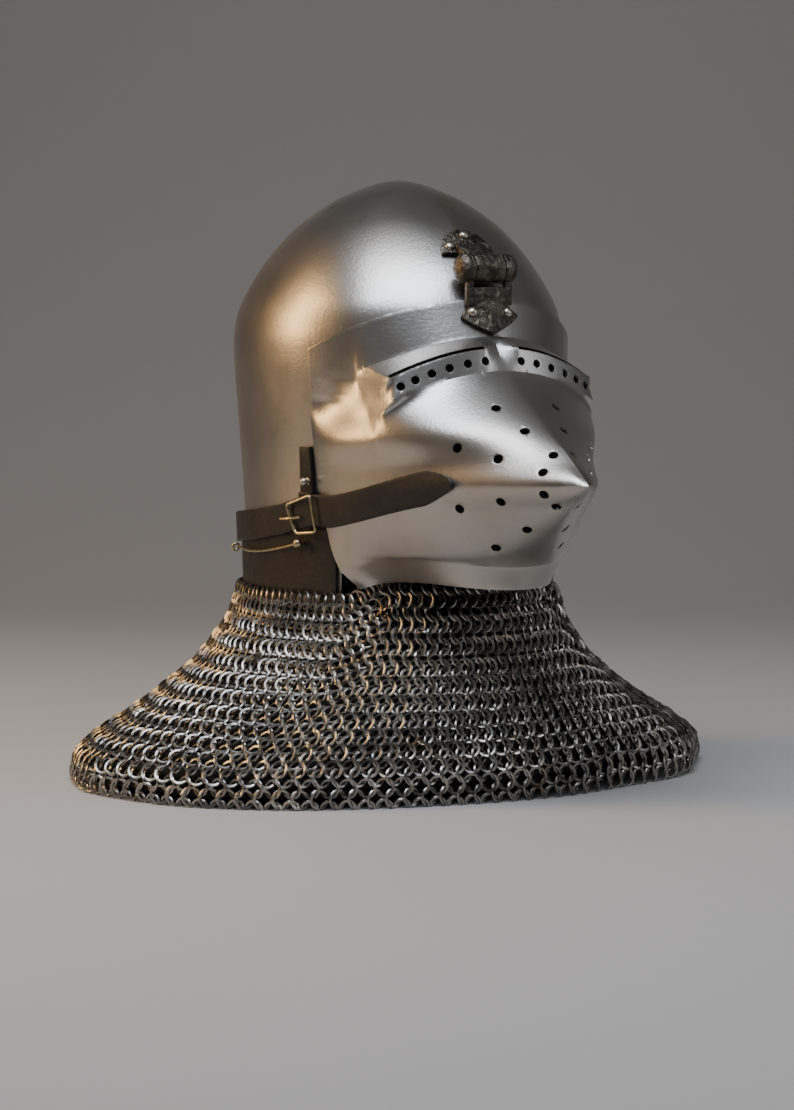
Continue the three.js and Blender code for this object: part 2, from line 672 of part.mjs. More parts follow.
addPiece('leather_band', bandGeometry(), leather);

// Strap: its middle line by angle round the skull, then over the visor's cheek to a tip
function strapHeight(angle) {
  const round = Math.abs(angle);
  const i = STRAP_HEIGHTS.findIndex((row) => row.angle >= round);
  if (i <= 0) return STRAP_HEIGHTS[0].height;
  const [a, b] = [STRAP_HEIGHTS[i - 1], STRAP_HEIGHTS[i]];
  return THREE.MathUtils.lerp(a.height, b.height, (round - a.angle) / (b.angle - a.angle));
}

function cheekHeight(out) {
  const along = THREE.MathUtils.clamp((out - STRAP_TIP.out) / (VISOR_EDGE.strapOut - STRAP_TIP.out), 0, 1);
  return THREE.MathUtils.lerp(STRAP_TIP.height, VISOR_EDGE.strapHeight, along ** 1.5);
}

// The part behind the buckle goes round the back and ends at the visor's other cheek
function strapRearGeometry() {
  const angles = stationsRound([STRAP.leftSplit + 0.2, 67.5, 71.5], [STRAP.split + 0.15, 71.5]);
  const place = (r, c, level) => {
    const angle = angles[Math.round(c * (angles.length - 1))];
    const round = angle > 180 ? 360 - angle : angle;
    const lift = (STRAP.overVisor - STRAP.overBand) * (1 - THREE.MathUtils.smoothstep(round, 64, 78));
    const height = strapHeight(round) + STRAP.width * (0.5 - r);
    return skullLevel(height, -angle, STRAP.overBand + lift + level);
  };
  return strip(3, angles.length, place, 0, STRAP.thickness);
}

// A strap end that lies on a cheek, from behind the visor's edge to its tip
function cheekStrap(side, from, tip, pointed) {
  const behind = [from, (from + VISOR_EDGE.angle) / 2, VISOR_EDGE.angle];
  const outs = [];
  for (let i = 0; i <= 12; i += 1) outs.push(THREE.MathUtils.lerp(VISOR_EDGE.out, tip, (i / 12) ** 0.9));
  const columns = behind.length + outs.length;
  const place = (r, c, level) => {
    const k = Math.round((side > 0 ? c : 1 - c) * (columns - 1));
    if (k < behind.length) {
      const height = strapHeight(behind[k]) + STRAP.width * (0.5 - r);
      return skullLevel(height, side * behind[k], STRAP.overVisor + level);
    }
    const out = outs[k - behind.length];
    const reach = pointed ? Math.min(1, (out - tip) / STRAP_TIP.taper) : 1;
    const half = (STRAP.width / 2) * Math.max(0.12, Math.sqrt(reach));
    const height = cheekHeight(out) + half * (1 - 2 * r);
    return visorAt(side * out, height, CHEEK_GAP + level).point;
  };
  return strip(5, columns, place, 0, STRAP.thickness);
}

addPiece('strap_rear', strapRearGeometry(), leather);
addPiece('strap_front', cheekStrap(1, STRAP.split - 0.15, STRAP_TIP.out, true), leather);

// The left end is riveted to the visor
const leftStrap = cheekStrap(-1, STRAP.leftSplit - 0.2, LEFT_END.out, false);
addPiece('strap_left', cut(leftStrap, [rivetHole(leftSeat)]), leather);
const rivetSeat = CHEEK_GAP + STRAP.thickness + GAP;
const strapRivet = [
  [0, -PLATE - 1],
  [LEAF.shank, -PLATE - 1],
  [LEAF.shank, rivetSeat],
  [3.6, rivetSeat],
  [3, rivetSeat + 1.1],
  [0, rivetSeat + 1.9],
];
addPiece('strap_rivet_left', turned(strapRivet, leftSeat.point, leftSeat.normal, 10), paleSteel);

// Buckle: a wire frame over the strap, its prong and the leather tab behind it
const corners = BUCKLE.corners.map(([angle, height, level]) => skullLevel(height, angle, level));
const bars = corners.map((corner, i) => {
  const next = corners[(i + 1) % corners.length];
  const along = next.clone().sub(corner);
  return rod(BUCKLE.wire, along.length() + 1.2 * BUCKLE.wire, corner.clone().lerp(next, 0.5), along, 8);
});
addPiece('buckle_frame', join(bars), brassWire);
const prongPath = PRONG.map(([angle, height, level]) => skullLevel(height, angle, level));
addPiece('buckle_prong', wire(prongPath, WIRE.radius, 6, 6), brassWire);
const chapePlace = (r, c, level) => {
  const angle = THREE.MathUtils.lerp(CHAPE.rear, CHAPE.front, c);
  return skullLevel(THREE.MathUtils.lerp(CHAPE.top, CHAPE.bottom, r), angle, level);
};
addPiece('buckle_chape', strip(3, 4, chapePlace, CHAPE.low, CHAPE.high), leather);

// Studs and retaining wires, alike on both sides
function ballStud({ angle, height }, side, ball) {
  const base = skullLevel(height, side * angle, STRAP.overBand);
  const points = [[0, 0], [2.2, 0], [2.2, 0.9], [1.1, 1.2]];
  const centre = ball + 1.6;
  for (let i = 0; i <= 5; i += 1) {
    const a = -1.15 + ((Math.PI / 2 + 1.15) * i) / 5;
    points.push([i === 5 ? 0 : ball * Math.cos(a), centre + ball * Math.sin(a)]);
  }
  return turned(points, base, skullNormal(height, side * angle), 10);
}

function retainingWire(side) {
  const path = WIRE_ROUTE.map(([angle, height, level]) => skullLevel(height, side * angle, level));
  const ball = new THREE.SphereGeometry(WIRE.ball, 10, 8);
  ball.translate(path[0].x, path[0].y, path[0].z);
  const [before, last] = path.slice(-2);
  const along = last.clone().sub(before).normalize();
  const eye = new THREE.TorusGeometry(WIRE.eye, WIRE.radius, 6, 12);
  eye.applyQuaternion(new THREE.Quaternion().setFromUnitVectors(new THREE.Vector3(0, 0, 1), along));
  const place = last.clone().addScaledVector(skullNormal(last.z, side * 108), WIRE.eye);
  eye.translate(place.x, place.y, place.z);
  return join([wire(path, WIRE.radius, 6, 20), ball, eye]);
}

[['right', 1], ['left', -1]].forEach(([word, side]) => {
  addPiece(`stud_upper_${word}`, ballStud(UPPER_STUD, side, WIRE.smallBall), paleSteel);
  const { angle, height, radius, length } = LOWER_STUD;
  const post = skullLevel(height, side * angle, STRAP.overBand + length / 2);
  addPiece(`stud_lower_${word}`, rod(radius, length, post, skullNormal(height, side * angle), 10), paleSteel);
  addPiece(`retaining_wire_${word}`, retainingWire(side), brassWire);
});

// Aventail: an open skirt of mail that hangs from the band and spreads over the shoulders
function skirtPoint(height, angle) {
  const round = Math.abs(angle > 180 ? angle - 360 : angle);
  const rise = 1 - THREE.MathUtils.smoothstep(round, SKIRT.riseTo, SKIRT.riseFrom);
  const [top, hem] = [SKIRT_PROFILE[0].height, SKIRT_PROFILE[SKIRT_PROFILE.length - 1].height];
  const down = (top - height) / (top - hem);
  let spread = skirtSpread(height) - SKIRT.frontIn * rise * (1 - down) ** 3;
  let lift = SKIRT.frontRise * rise * (1 - down) ** 2;
  FOLDS.forEach((fold) => {
    const away = ((angle - fold.angle + 540) % 360) - 180;
    const weight = Math.exp(-((away / fold.width) ** 2));
    spread += fold.depth * weight * down ** 1.5;
    lift += fold.lift * weight * down ** 3;
  });
  const width = skullHalfWidth(0);
  const a = radians(angle);
  const [ratio, share] = Math.cos(a) > 0 ? [FRONT_RATIO, SKIRT.front] : [BACK_RATIO, SKIRT.back];
  const least = SKIRT_PROFILE[0].spread;
  const side = (width + spread) * Math.sin(a);
  const length = width * ratio + Math.min(spread, least) + Math.max(0, spread - least) * share;
  const forward = length * Math.cos(a);
  return new THREE.Vector3(-side, -forward, height + lift);
}

function aventailGeometry() {
  const grid = SKIRT_PROFILE.map(({ height }) => (
    Array.from({ length: SKIRT.columns }, (_, c) => skirtPoint(height, -(360 * c) / SKIRT.columns))
  ));
  const normals = gridNormals(grid, true);
  const [outer, inner] = [MAIL / 2, -MAIL / 2].map((distance) => offsetGrid(grid, normals, distance));
  return plateBetween(outer, inner, true, false);
}

addPiece('aventail', aventailGeometry(), mailSteel);

export default helmet;
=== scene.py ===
# A visored bascinet: a keeled steel skull, a pointed visor on a brow hinge, a leather band with its
# strap, and a skirt of mail. Sizes are millimetres and heights are above the skull's rim. The face looks
# along -Y and the wearer's right hand is on -X. settle() puts each finished mesh in the frame's metres.
import math
import random
import bmesh
import bpy
import numpy as np
from mathutils import Matrix, Vector
from mathutils.bvhtree import BVHTree


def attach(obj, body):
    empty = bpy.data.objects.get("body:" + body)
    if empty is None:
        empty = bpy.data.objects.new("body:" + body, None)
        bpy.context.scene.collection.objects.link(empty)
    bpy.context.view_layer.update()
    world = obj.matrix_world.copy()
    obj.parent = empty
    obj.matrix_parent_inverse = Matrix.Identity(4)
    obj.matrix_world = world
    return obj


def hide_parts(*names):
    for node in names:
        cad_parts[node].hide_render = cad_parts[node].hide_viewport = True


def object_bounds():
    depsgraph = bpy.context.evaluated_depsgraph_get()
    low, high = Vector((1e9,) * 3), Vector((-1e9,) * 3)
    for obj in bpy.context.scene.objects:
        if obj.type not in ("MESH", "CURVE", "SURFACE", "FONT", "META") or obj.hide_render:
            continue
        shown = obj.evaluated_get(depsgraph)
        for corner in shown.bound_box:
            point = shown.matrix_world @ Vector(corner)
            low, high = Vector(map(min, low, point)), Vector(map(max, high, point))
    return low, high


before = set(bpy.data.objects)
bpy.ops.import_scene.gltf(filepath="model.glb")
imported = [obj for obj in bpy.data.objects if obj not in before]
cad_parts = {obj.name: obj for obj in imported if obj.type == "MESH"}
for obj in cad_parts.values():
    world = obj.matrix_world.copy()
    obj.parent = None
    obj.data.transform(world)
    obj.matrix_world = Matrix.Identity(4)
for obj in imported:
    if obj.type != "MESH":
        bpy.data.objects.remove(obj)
cad_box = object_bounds()


# Skull: one shell of 2 mm mild steel, raised to an egg with a soft keel from brow to nape.
# It is open below and at the face, filed smooth at its edges and polished to a satin.
HEAD_SEAT = 250
PLATE = 2
SKULL_PROFILE = [  # height, half width
    (0, 96.5), (57, 98), (115, 101.6), (160, 104.8), (182, 104), (200, 98.5),
    (224, 84.4), (245.5, 66.2), (262, 44.8), (270, 29.5), (276, 13.3), (278.6, 0),
]
FRONT_RATIO, BACK_RATIO = 1.185, 1.23
KEEL_FRONT, KEEL_BACK, KEEL_WIDTH, KEEL_FADE = 2.2, 1.2, 34, 20
SKULL_ROWS, SKULL_COLUMNS = 90, 144
# The face opening's half width, top and corner height, and the block that cuts it.
FACE = {"half": 76, "top": 176, "corner": 40, "foot": -20, "start": 170, "end": 48}
RIVET_HOLE = 1.8


def blend(a, b, t):
    return a + (b - a) * t


def ease(x, low, high):
    t = min(1, max(0, (x - low) / (high - low)))
    return t * t * (3 - 2 * t)


def curve_through(points, samples):
    """Points along a smooth curve through a short table of them."""
    p = np.array([points[0], *points, points[-1]], float)
    out = []
    for t in np.linspace(0, len(points) - 1, samples):
        i = min(int(t), len(points) - 2)
        w = t - i
        a, b, c, d = p[i:i + 4]
        out.append(b + (c - a) / 2 * w + (a - 2.5 * b + 2 * c - d / 2) * w ** 2
                   + (1.5 * b - 1.5 * c + (d - a) / 2) * w ** 3)
    return np.array(out)


skull_line = curve_through(SKULL_PROFILE, 400)


def skull_half_width(height):
    return float(np.interp(height, skull_line[:, 0], skull_line[:, 1]))


def keel_rise(side, width, front):
    """How far the keel stands out: most on the middle line, and fading at the crown."""
    keel = KEEL_FRONT if front else KEEL_BACK
    return keel * max(0, 1 - abs(side) / KEEL_WIDTH) ** 2 * min(1, width / KEEL_FADE)


def skull_point(height, angle, standoff=0):
    """A place round the skull, with angle 0 at the face and 90 at the wearer's right ear."""
    width = skull_half_width(height)
    a = math.radians(angle)
    front = math.cos(a) > 0
    side = (width + standoff) * math.sin(a)
    forward = (width * (FRONT_RATIO if front else BACK_RATIO) + standoff) * math.cos(a)
    rise = keel_rise(side, width, front)
    return Vector((-side, -forward - math.copysign(rise, forward), height))


def skull_normal(height, angle):
    down = skull_point(height - 2, angle) - skull_point(height + 2, angle)
    round_ = skull_point(height, angle - 1) - skull_point(height, angle + 1)
    return down.cross(round_).normalized()


def skull_level(height, angle, level):
    return skull_point(height, angle) + skull_normal(height, angle) * level


def linear(hex_colour):
    """An sRGB hex colour as linear light with alpha."""
    channels = [int(hex_colour[i:i + 2], 16) / 255 for i in (1, 3, 5)]
    return [*[c / 12.92 if c <= 0.04045 else ((c + 0.055) / 1.055) ** 2.4 for c in channels], 1]


def add_node(tree, kind, values={}, links={}):
    """Adds a node, sets its properties and socket values, and links its inputs."""
    new = tree.nodes.new(kind)
    for key, value in values.items():
        if isinstance(key, int) or key in new.inputs:
            new.inputs[key].default_value = value
        else:
            setattr(new, key, value)
    for key, socket in links.items():
        tree.links.new(socket, new.inputs[key])
    return new


def new_material(name, **sockets):
    material = bpy.data.materials.new(name)
    material.use_nodes = True
    tree = material.node_tree
    shader = tree.nodes["Principled BSDF"]
    for key, value in sockets.items():
        shader.inputs[key.replace("_", " ")].default_value = value
    return material, tree, shader, add_node(tree, "ShaderNodeTexCoord").outputs["Object"]


def spots(tree, place, size_mm, detail=3.0, stretch=None, turn=(0, 0, 0)):
    """Noise whose patches are about size_mm wide, stretched along the turned axes if asked."""
    scale = [1 / s for s in (stretch or (1, 1, 1))]
    values = {"Rotation": turn, "Scale": scale}
    moved = add_node(tree, "ShaderNodeMapping", values, {"Vector": place})
    values = {"Scale": 500 / size_mm, "Detail": detail}
    return add_node(tree, "ShaderNodeTexNoise", values, {"Vector": moved.outputs[0]}).outputs["Fac"]


def between(tree, factor, low, high, out_low, out_high):
    """A factor's stretch from low to high mapped on out_low to out_high."""
    values = {"From Min": low, "From Max": high, "To Min": out_low, "To Max": out_high}
    return add_node(tree, "ShaderNodeMapRange", values, {"Value": factor}).outputs["Result"]


def uneven(tree, place, size_mm, detail, low, high):
    """A value that wanders from low to high in patches about size_mm wide."""
    return between(tree, spots(tree, place, size_mm, detail), 0.3, 0.7, low, high)


def tint(tree, factor, first, second):
    """Two colours mixed by a factor; each is a hex text or a socket."""
    mixed = add_node(tree, "ShaderNodeMix", {"data_type": "RGBA"}, {0: factor})
    for slot, colour in ((6, first), (7, second)):
        if isinstance(colour, str):
            mixed.inputs[slot].default_value = linear(colour)
        else:
            tree.links.new(colour, mixed.inputs[slot])
    return mixed.outputs[2]


def total(tree, *factors):
    last = factors[0]
    for factor in factors[1:]:
        added = add_node(tree, "ShaderNodeMath", {"operation": "ADD"}, {0: last, 1: factor})
        last = added.outputs[0]
    return last


def paint(tree, shader, colour, roughness=None):
    """Links a colour and, if given, a roughness to the shader."""
    tree.links.new(colour, shader.inputs["Base Color"])
    if roughness is not None:
        tree.links.new(roughness, shader.inputs["Roughness"])


def relief(tree, shader, height, depth_mm):
    values = {"Strength": 1.0, "Distance": depth_mm / 1000}
    bump = add_node(tree, "ShaderNodeBump", values, {"Height": height})
    tree.links.new(bump.outputs["Normal"], shader.inputs["Normal"])


# Polished mild steel plate, ground and rubbed by hand: a satin mirror with fine crossed scratches, soft
# hammer marks, cloudy patches where the wheel went, and a faint brown film of old oil.
def polished_steel():
    material, tree, shader, place = new_material("polished_mild_steel", Metallic=1.0)
    film = spots(tree, place, 70, 4)
    clean = tint(tree, between(tree, film, 0.4, 0.75, 0, 1), "#C3C0BB", "#ADA498")
    stains = between(tree, spots(tree, place, 9, 2), 0.55, 0.8, 0, 0.3)
    colour = tint(tree, stains, clean, "#9A8E7D")
    # Real scratches are about 0.05 mm wide; these are drawn 0.9 mm wide so that they show.
    strokes = [
        ((1, 1, 30), (0.5, 0.3, 0)),
        ((1, 30, 1), (0.2, 0.1, 0.6)),
        ((30, 1, 1), (0, 0.5, 0.35)),
    ]
    scratches = total(tree, *[spots(tree, place, 0.9, 1, stretch, turn) for stretch, turn in strokes])
    paint(tree, shader, colour, uneven(tree, place, 32, 2, 0.29, 0.37))
    hammer = between(tree, spots(tree, place, 34, 0), 0, 1, 0, 3)
    relief(tree, shader, total(tree, scratches, hammer), 0.05)
    return material


steel = polished_steel()


def add_object(name, data):
    made = bpy.data.objects.new(name, data)
    bpy.context.scene.collection.objects.link(made)
    return made


def object_from(bm, name):
    mesh = bpy.data.meshes.new(name)
    bm.to_mesh(mesh)
    bm.free()
    return add_object(name, mesh)


def modify(piece, kind, **settings):
    modifier = piece.modifiers.new(kind.lower(), kind)
    for key, value in settings.items():
        setattr(modifier, key, value)


def soften(piece, width, segments=2, angle=35):
    modify(piece, "BEVEL", width=width, segments=segments, limit_method="ANGLE",
           angle_limit=math.radians(angle), use_clamp_overlap=True)


def cut_out(piece, cutters):
    for cutter in cutters:
        modify(piece, "BOOLEAN", operation="DIFFERENCE", solver="EXACT", object=cutter)


def apply_modifiers(piece):
    evaluated = piece.evaluated_get(bpy.context.evaluated_depsgraph_get())
    mesh = bpy.data.meshes.new_from_object(evaluated)
    old = piece.data
    piece.modifiers.clear()
    piece.data = mesh
    bpy.data.meshes.remove(old)


def settle(piece, body, material, slot, *nodes, crease=30):
    """Puts a finished piece in the frame with its finish and body, and hides what it stands for."""
    apply_modifiers(piece)
    piece.data.transform(Matrix.Translation((0, 0, -HEAD_SEAT * 0.001)) @ Matrix.Scale(0.001, 4))
    piece.data.shade_smooth()
    piece.data.set_sharp_from_angle(angle=math.radians(crease))
    piece.data.materials.clear()
    piece.data.materials.append(material)
    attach(piece, body)
    if nodes:
        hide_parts(*nodes)


def remove(pieces):
    for piece in pieces:
        bpy.data.objects.remove(piece)


def stood_at(place, direction):
    """The matrix that stands a shape on a place with its own Z along a direction."""
    turn = Vector((0, 0, 1)).rotation_difference(Vector(direction)).to_matrix().to_4x4()
    return Matrix.Translation(place) @ turn


def drill(place, direction, radius, length=16, sides=32):
    """A round cutter or pin, centred on a place along a direction."""
    bm = bmesh.new()
    sizes = {"segments": sides, "radius1": radius, "radius2": radius, "depth": length}
    bmesh.ops.create_cone(bm, cap_ends=True, matrix=stood_at(place, direction), **sizes)
    return object_from(bm, "drill")


def spin_round(bm, outline, steps, closed=False, merge=0.001):
    """Turns an outline of radius and height round the upright axis, with its seam and poles merged."""
    verts = [bm.verts.new((radius, 0, height)) for radius, height in outline]
    edges = [bm.edges.new((verts[i - 1], verts[i])) for i in range(0 if closed else 1, len(verts))]
    bmesh.ops.spin(bm, geom=verts + edges, axis=(0, 0, 1), angle=math.tau, steps=steps, use_merge=True)
    bmesh.ops.remove_doubles(bm, verts=bm.verts, dist=merge)
    bmesh.ops.recalc_face_normals(bm, faces=bm.faces)


def thicken(bm, vec):
    """Grows a flat outline along a vector to a closed block."""
    grown = bmesh.ops.extrude_face_region(bm, geom=bm.faces[:])
    moved = [g for g in grown["geom"] if isinstance(g, bmesh.types.BMVert)]
    bmesh.ops.translate(bm, vec=vec, verts=moved)
    bmesh.ops.recalc_face_normals(bm, faces=bm.faces)


HINGE_RIVETS_UPPER = [(235.8, 0), (228.6, 11.8), (228.6, -11.8)]


def skull_spot(height, out):
    """A place and direction on the skull, by height and distance to the wearer's right."""
    angle = math.degrees(math.asin(out / skull_half_width(height)))
    return skull_point(height, angle), skull_normal(height, angle)


bm = bmesh.new()
steps = np.cumsum([0, *np.linalg.norm(np.diff(skull_line, axis=0), axis=1)])
even = np.linspace(0, steps[-1], SKULL_ROWS)
heights, widths = [np.interp(even, steps, skull_line[:, k]) for k in (0, 1)]
spin_round(bm, zip(np.maximum(widths, 0), heights), SKULL_COLUMNS, merge=0.01)
for vert in bm.verts:
    front = vert.co.y < 0
    rise = keel_rise(vert.co.x, skull_half_width(vert.co.z), front)
    vert.co.y *= FRONT_RATIO if front else BACK_RATIO
    vert.co.y += -rise if front else rise
skull = object_from(bm, "skull_shell")
modify(skull, "SOLIDIFY", thickness=PLATE, offset=-1, use_even_offset=True)

bm = bmesh.new()
bend = [(FACE["half"] * (1 - t * t), FACE["top"] - FACE["corner"] * (1 - t) ** 2)
        for t in np.arange(13) / 12]
arch = [(-FACE["half"], FACE["foot"]), (FACE["half"], FACE["foot"]), *bend]
arch += [(-x, z) for x, z in reversed(bend[:-1])]
bmesh.ops.contextual_create(bm, geom=[bm.verts.new((x, -FACE["start"], z)) for x, z in arch])
bmesh.ops.remove_doubles(bm, verts=bm.verts, dist=0.01)
thicken(bm, (0, FACE["start"] - FACE["end"], 0))
cutters = [object_from(bm, "face_cutter")]
cutters += [drill(*skull_spot(height, out), RIVET_HOLE, 20) for height, out in HINGE_RIVETS_UPPER]
cut_out(skull, cutters)
soften(skull, 0.6, 3)
settle(skull, "helmet", steel, "polished_steel", "skull")
remove(cutters)


# Visor: one shell of 2 mm steel drawn to a point. The brow flares over a ledge with the sights and a row
# of small holes, a notch parts the sights over the nose, a dart tucks each temple, and the chin ends in
# a flat lip.
STANDOFF, LOWER_STANDOFF, LOWER_BELOW = 4, 5.5, 70
BROW_FOOT_STANDOFF = 7
RIM_HEIGHT, RIM_SLOPE, RIM_GUESS = 134, 0.517, 190
RIM_ANGLES = {"front": (0, 43), "wall": (43, 45), "rear": (45, 61)}
TEMPLE_SPAN = (108, 132)
SIGHT_BOW, SIGHT_DROP, SIGHT_HALF = 0.0026, 0.0037, 72.5
NOTCH_HALF, NOTCH_DEPTH = 11, 6.5
# How far along a section the dart's tip lies and how wide it is there, how far from the front's end
# to the temple the fold begins, and how much of the front keeps its shape before it.
DART_TIP, DART_WALL, DART_START, DART_KEEPS = 0.72, 0.02, 0.36, 0.92
BROWS = [  # name, forward and height in the middle, temple place, angle and height of the rear edge
    ("brow foot", 134, 174, (76, 94.5, 152), 61, 155),
    ("sight", 144.5, 167.5, (76, 94, 145), 61, 149),
    ("ledge", 148.5, 152.5, (76.4, 106, 135), 61, 140),
]
CHEEK = [(0, 174, 136), (30, 173, 134), (62, 146, 129), (75.5, 127, 124)]
CHEEK_TEMPLE, CHEEK_EDGE = (77, 110, 125), (60.9, 130)
BEAK = [  # nose, round and flank as out, forward, height; then angle and height of the rear edge
    ((0, 200, 119), (28, 198, 117), (90, 146, 108), 60.5, 111),
    ((0, 228, 101), (18, 221, 100), (86, 140, 92), 59.7, 93),
    ((0, 251, 85), (10, 244, 85), (84, 140, 80), 58.8, 76),
    ((0, 230, 71), (15, 223, 70), (80, 130, 62), 57, 62),
    ((0, 207, 56), (24, 203, 56), (74, 125, 50), 55.4, 50),
    ((0, 185, 42), (34, 183, 41), (64, 118, 36), 53.6, 37),
    ((0, 168, 31), (45, 168, 31), (58, 118, 43), 50.7, 25),
    ((0, 167, 17), (46, 167, 17), (43, 98, 25), 43.4, 14),
]


def right_side(place):
    return Vector((-place[0], -place[1], place[2]))


def bezier(points, t):
    a, b, c, d = points
    u = 1 - t
    return a * u ** 3 + b * 3 * u * u * t + c * 3 * u * t * t + d * t ** 3


def temple_arc(temple, edge_angle, edge_height, t):
    start = math.degrees(math.atan2(-temple.x / TEMPLE_SPAN[0], -temple.y / TEMPLE_SPAN[1]))
    height = blend(temple.z, edge_height, t)
    place = skull_point(height, blend(start, edge_angle, t), STANDOFF)
    return place.lerp(temple, (1 - t) ** 4)


def brow_section(name, forward, height, temple, edge_angle, edge_height):
    temple = right_side(temple)

    def front(t):
        out = t * SIGHT_HALF
        z = height - SIGHT_DROP * out * out
        if name == "brow foot":
            angle = math.degrees(math.asin(out / (skull_half_width(z) + BROW_FOOT_STANDOFF)))
            return skull_point(z, angle, BROW_FOOT_STANDOFF)
        dip = NOTCH_DEPTH * max(0, 1 - out / NOTCH_HALF) if name == "sight" else 0
        return right_side((out, forward - SIGHT_BOW * out * out - dip, z))

    def section(part, t):
        if part == "front":
            return front(t)
        if part == "wall":
            return front(1).lerp(temple, t)
        return temple_arc(temple, edge_angle, edge_height, t)
    return with_dart(section, temple, 0.5) if name == "ledge" else section


def with_dart(section, temple, fullness):
    """A section whose dart starts behind its front's end, and whose rear swells like the one below."""
    dart_front = section("front", 1).lerp(temple, DART_START)
    below = beak_section(*BEAK[0])

    def folded(part, t):
        if part == "front" and t <= DART_KEEPS:
            return section("front", t / DART_KEEPS)
        if part == "front":
            return section("front", 1).lerp(dart_front, (t - DART_KEEPS) / (1 - DART_KEEPS))
        if part == "wall":
            return dart_front.lerp(temple, t)
        arc = section(part, t)
        swelled = temple + below(part, t) - below("wall", 1)
        swelled.z = arc.z
        return arc.lerp(swelled, fullness * (1 - ease(t, 0, 1)))
    return folded


def cheek_section(part, t):
    temple = right_side(CHEEK_TEMPLE)
    if part == "front":
        return bezier([right_side(place) for place in CHEEK], t)
    return temple_arc(temple, *CHEEK_EDGE, t)


def beak_section(nose, round_, flank, edge_angle, edge_height):
    standoff = STANDOFF if edge_height > LOWER_BELOW else LOWER_STANDOFF
    edge = skull_point(edge_height, edge_angle, standoff)
    points = [*[right_side(place) for place in (nose, round_, flank)], edge]
    rear = DART_TIP + DART_WALL
    spans = {"front": (0, DART_TIP), "wall": (DART_TIP, rear), "rear": (rear, 1)}
    return lambda part, t: bezier(points, blend(*spans[part], t))


def rim_section(part, t):
    """The upper rim: a slanting plane meets the curved skull, so its height is found in a few rounds."""
    angle = blend(*RIM_ANGLES[part], t)
    height = RIM_GUESS
    for _ in range(8):
        height = RIM_HEIGHT - RIM_SLOPE * skull_point(height, angle, STANDOFF).y
    return skull_point(height, angle, STANDOFF)


cheek_folded = with_dart(cheek_section, right_side(CHEEK_TEMPLE), 1)
sections = [rim_section, *[brow_section(*row) for row in BROWS]]
sections += [cheek_folded, *[beak_section(*row) for row in BEAK]]
DART_ROW, TIP_ROW, LIP_ROW = 4, 7, 11
ROW_CREASE = {1: 1, 2: 1, 3: 1, LIP_ROW: 0.9}
ROW_STEPS = [10, 5, 6, 6, 7, 6, 6, 6, 6, 6, 6, 6]
notch = [NOTCH_HALF / SIGHT_HALF * t for t in (0, 0.25, 0.5, 0.75)]
columns = [("front", t) for t in [*notch, *np.linspace(NOTCH_HALF / SIGHT_HALF, 1, 38)]]
columns += [("wall", t) for t in (0.25, 0.5, 0.75, 1)]
columns += [("rear", t) for t in np.linspace(0, 1, 17)[1:]]


def crease(row, column):
    """How sharply a column turns at a row: 0 is smooth and 1 is folded."""
    part, t = columns[column]
    if row == TIP_ROW:
        return 1 - ease(t, 0.0, 0.16) if part == "front" else 0
    if row == DART_ROW:
        return {"front": ease(t, 0.85, 1), "wall": 1, "rear": 1 - ease(t, 0, 0.2)}[part]
    if row == DART_ROW + 1 and part == "wall":
        return 0.5
    return ROW_CREASE.get(row, 0)


def loft_column(column):
    """The visor's points down one column, smooth through its sections but for the creased ones."""
    points = [section(*columns[column]) for section in sections]
    last = len(points) - 1
    line = []
    for row in range(last):
        a, b = points[row], points[row + 1]
        before = (b - points[row - 1]) / 2 if row else b - a
        after = (points[row + 2] - a) / 2 if row + 1 < last else b - a
        before = before.lerp(b - a, crease(row, column))
        after = after.lerp(b - a, crease(row + 1, column))
        for i in range(ROW_STEPS[row] + (row + 1 == last)):
            t = i / ROW_STEPS[row]
            line.append(a * (2 * t ** 3 - 3 * t * t + 1) + before * (t ** 3 - 2 * t * t + t)
                        + b * (3 * t * t - 2 * t ** 3) + after * (t ** 3 - t * t))
    return line


lofted = [loft_column(c) for c in range(len(columns))]
across, down = 2 * len(columns) - 1, len(lofted[0])
bm = bmesh.new()
bmesh.ops.create_grid(bm, x_segments=across - 1, y_segments=down - 1, size=0.5)
for vert in bm.verts:
    c = round((vert.co.x + 0.5) * (across - 1)) - (len(columns) - 1)
    place = lofted[abs(c)][round((0.5 - vert.co.y) * (down - 1))]
    vert.co = (-place.x if c > 0 else place.x, place.y, place.z)
bmesh.ops.remove_doubles(bm, verts=bm.verts, dist=0.001)
visor_surface = BVHTree.FromBMesh(bm)
visor = object_from(bm, "visor_shell")
modify(visor, "SOLIDIFY", thickness=PLATE, offset=-1, use_even_offset=False)


RAY_START = 400


def visor_front(out, height):
    """Place and direction on the visor met from the front, by distance to the wearer's right."""
    start = Vector((-out, -RAY_START, height))
    place, normal, *_ = visor_surface.ray_cast(start, Vector((0, 1, 0)))
    return place, normal


HOLE, SIGHT_HOLE, HOLES_DOWN = 3.1, 2.7, 0.55
SIGHT_HOLES = [12.8, 24.6, 36.4, 47.5, 57.6, 66.3]
BREATH_HOLES = [
    (21.1, 130.1), (13.8, 116.5), (7, 102.6), (47.5, 106), (31.6, 99.8), (16.4, 92.6),
    (45.5, 68.8), (31.6, 73.9), (16.9, 79), (23, 44.5), (13.6, 56.5), (7.7, 71.6),
]
HINGE_RIVETS_LOWER = [(11.8, 187.8), (-11.8, 187.8)]
LEFT_RIVET = (-78, 69.7)
# The sight's height, how far each end stops from the notch or the wall, and the block that cuts it.
SIGHT_CUT = {"high": 1.8, "short": 1, "start": 165, "depth": 47}


def ledge_spot(out):
    """A place and direction on the ledge under the sights."""
    low, high = BROWS[2][2], BROWS[1][2]
    return visor_front(out, blend(high, low, HOLES_DOWN) - SIGHT_DROP * out * out)


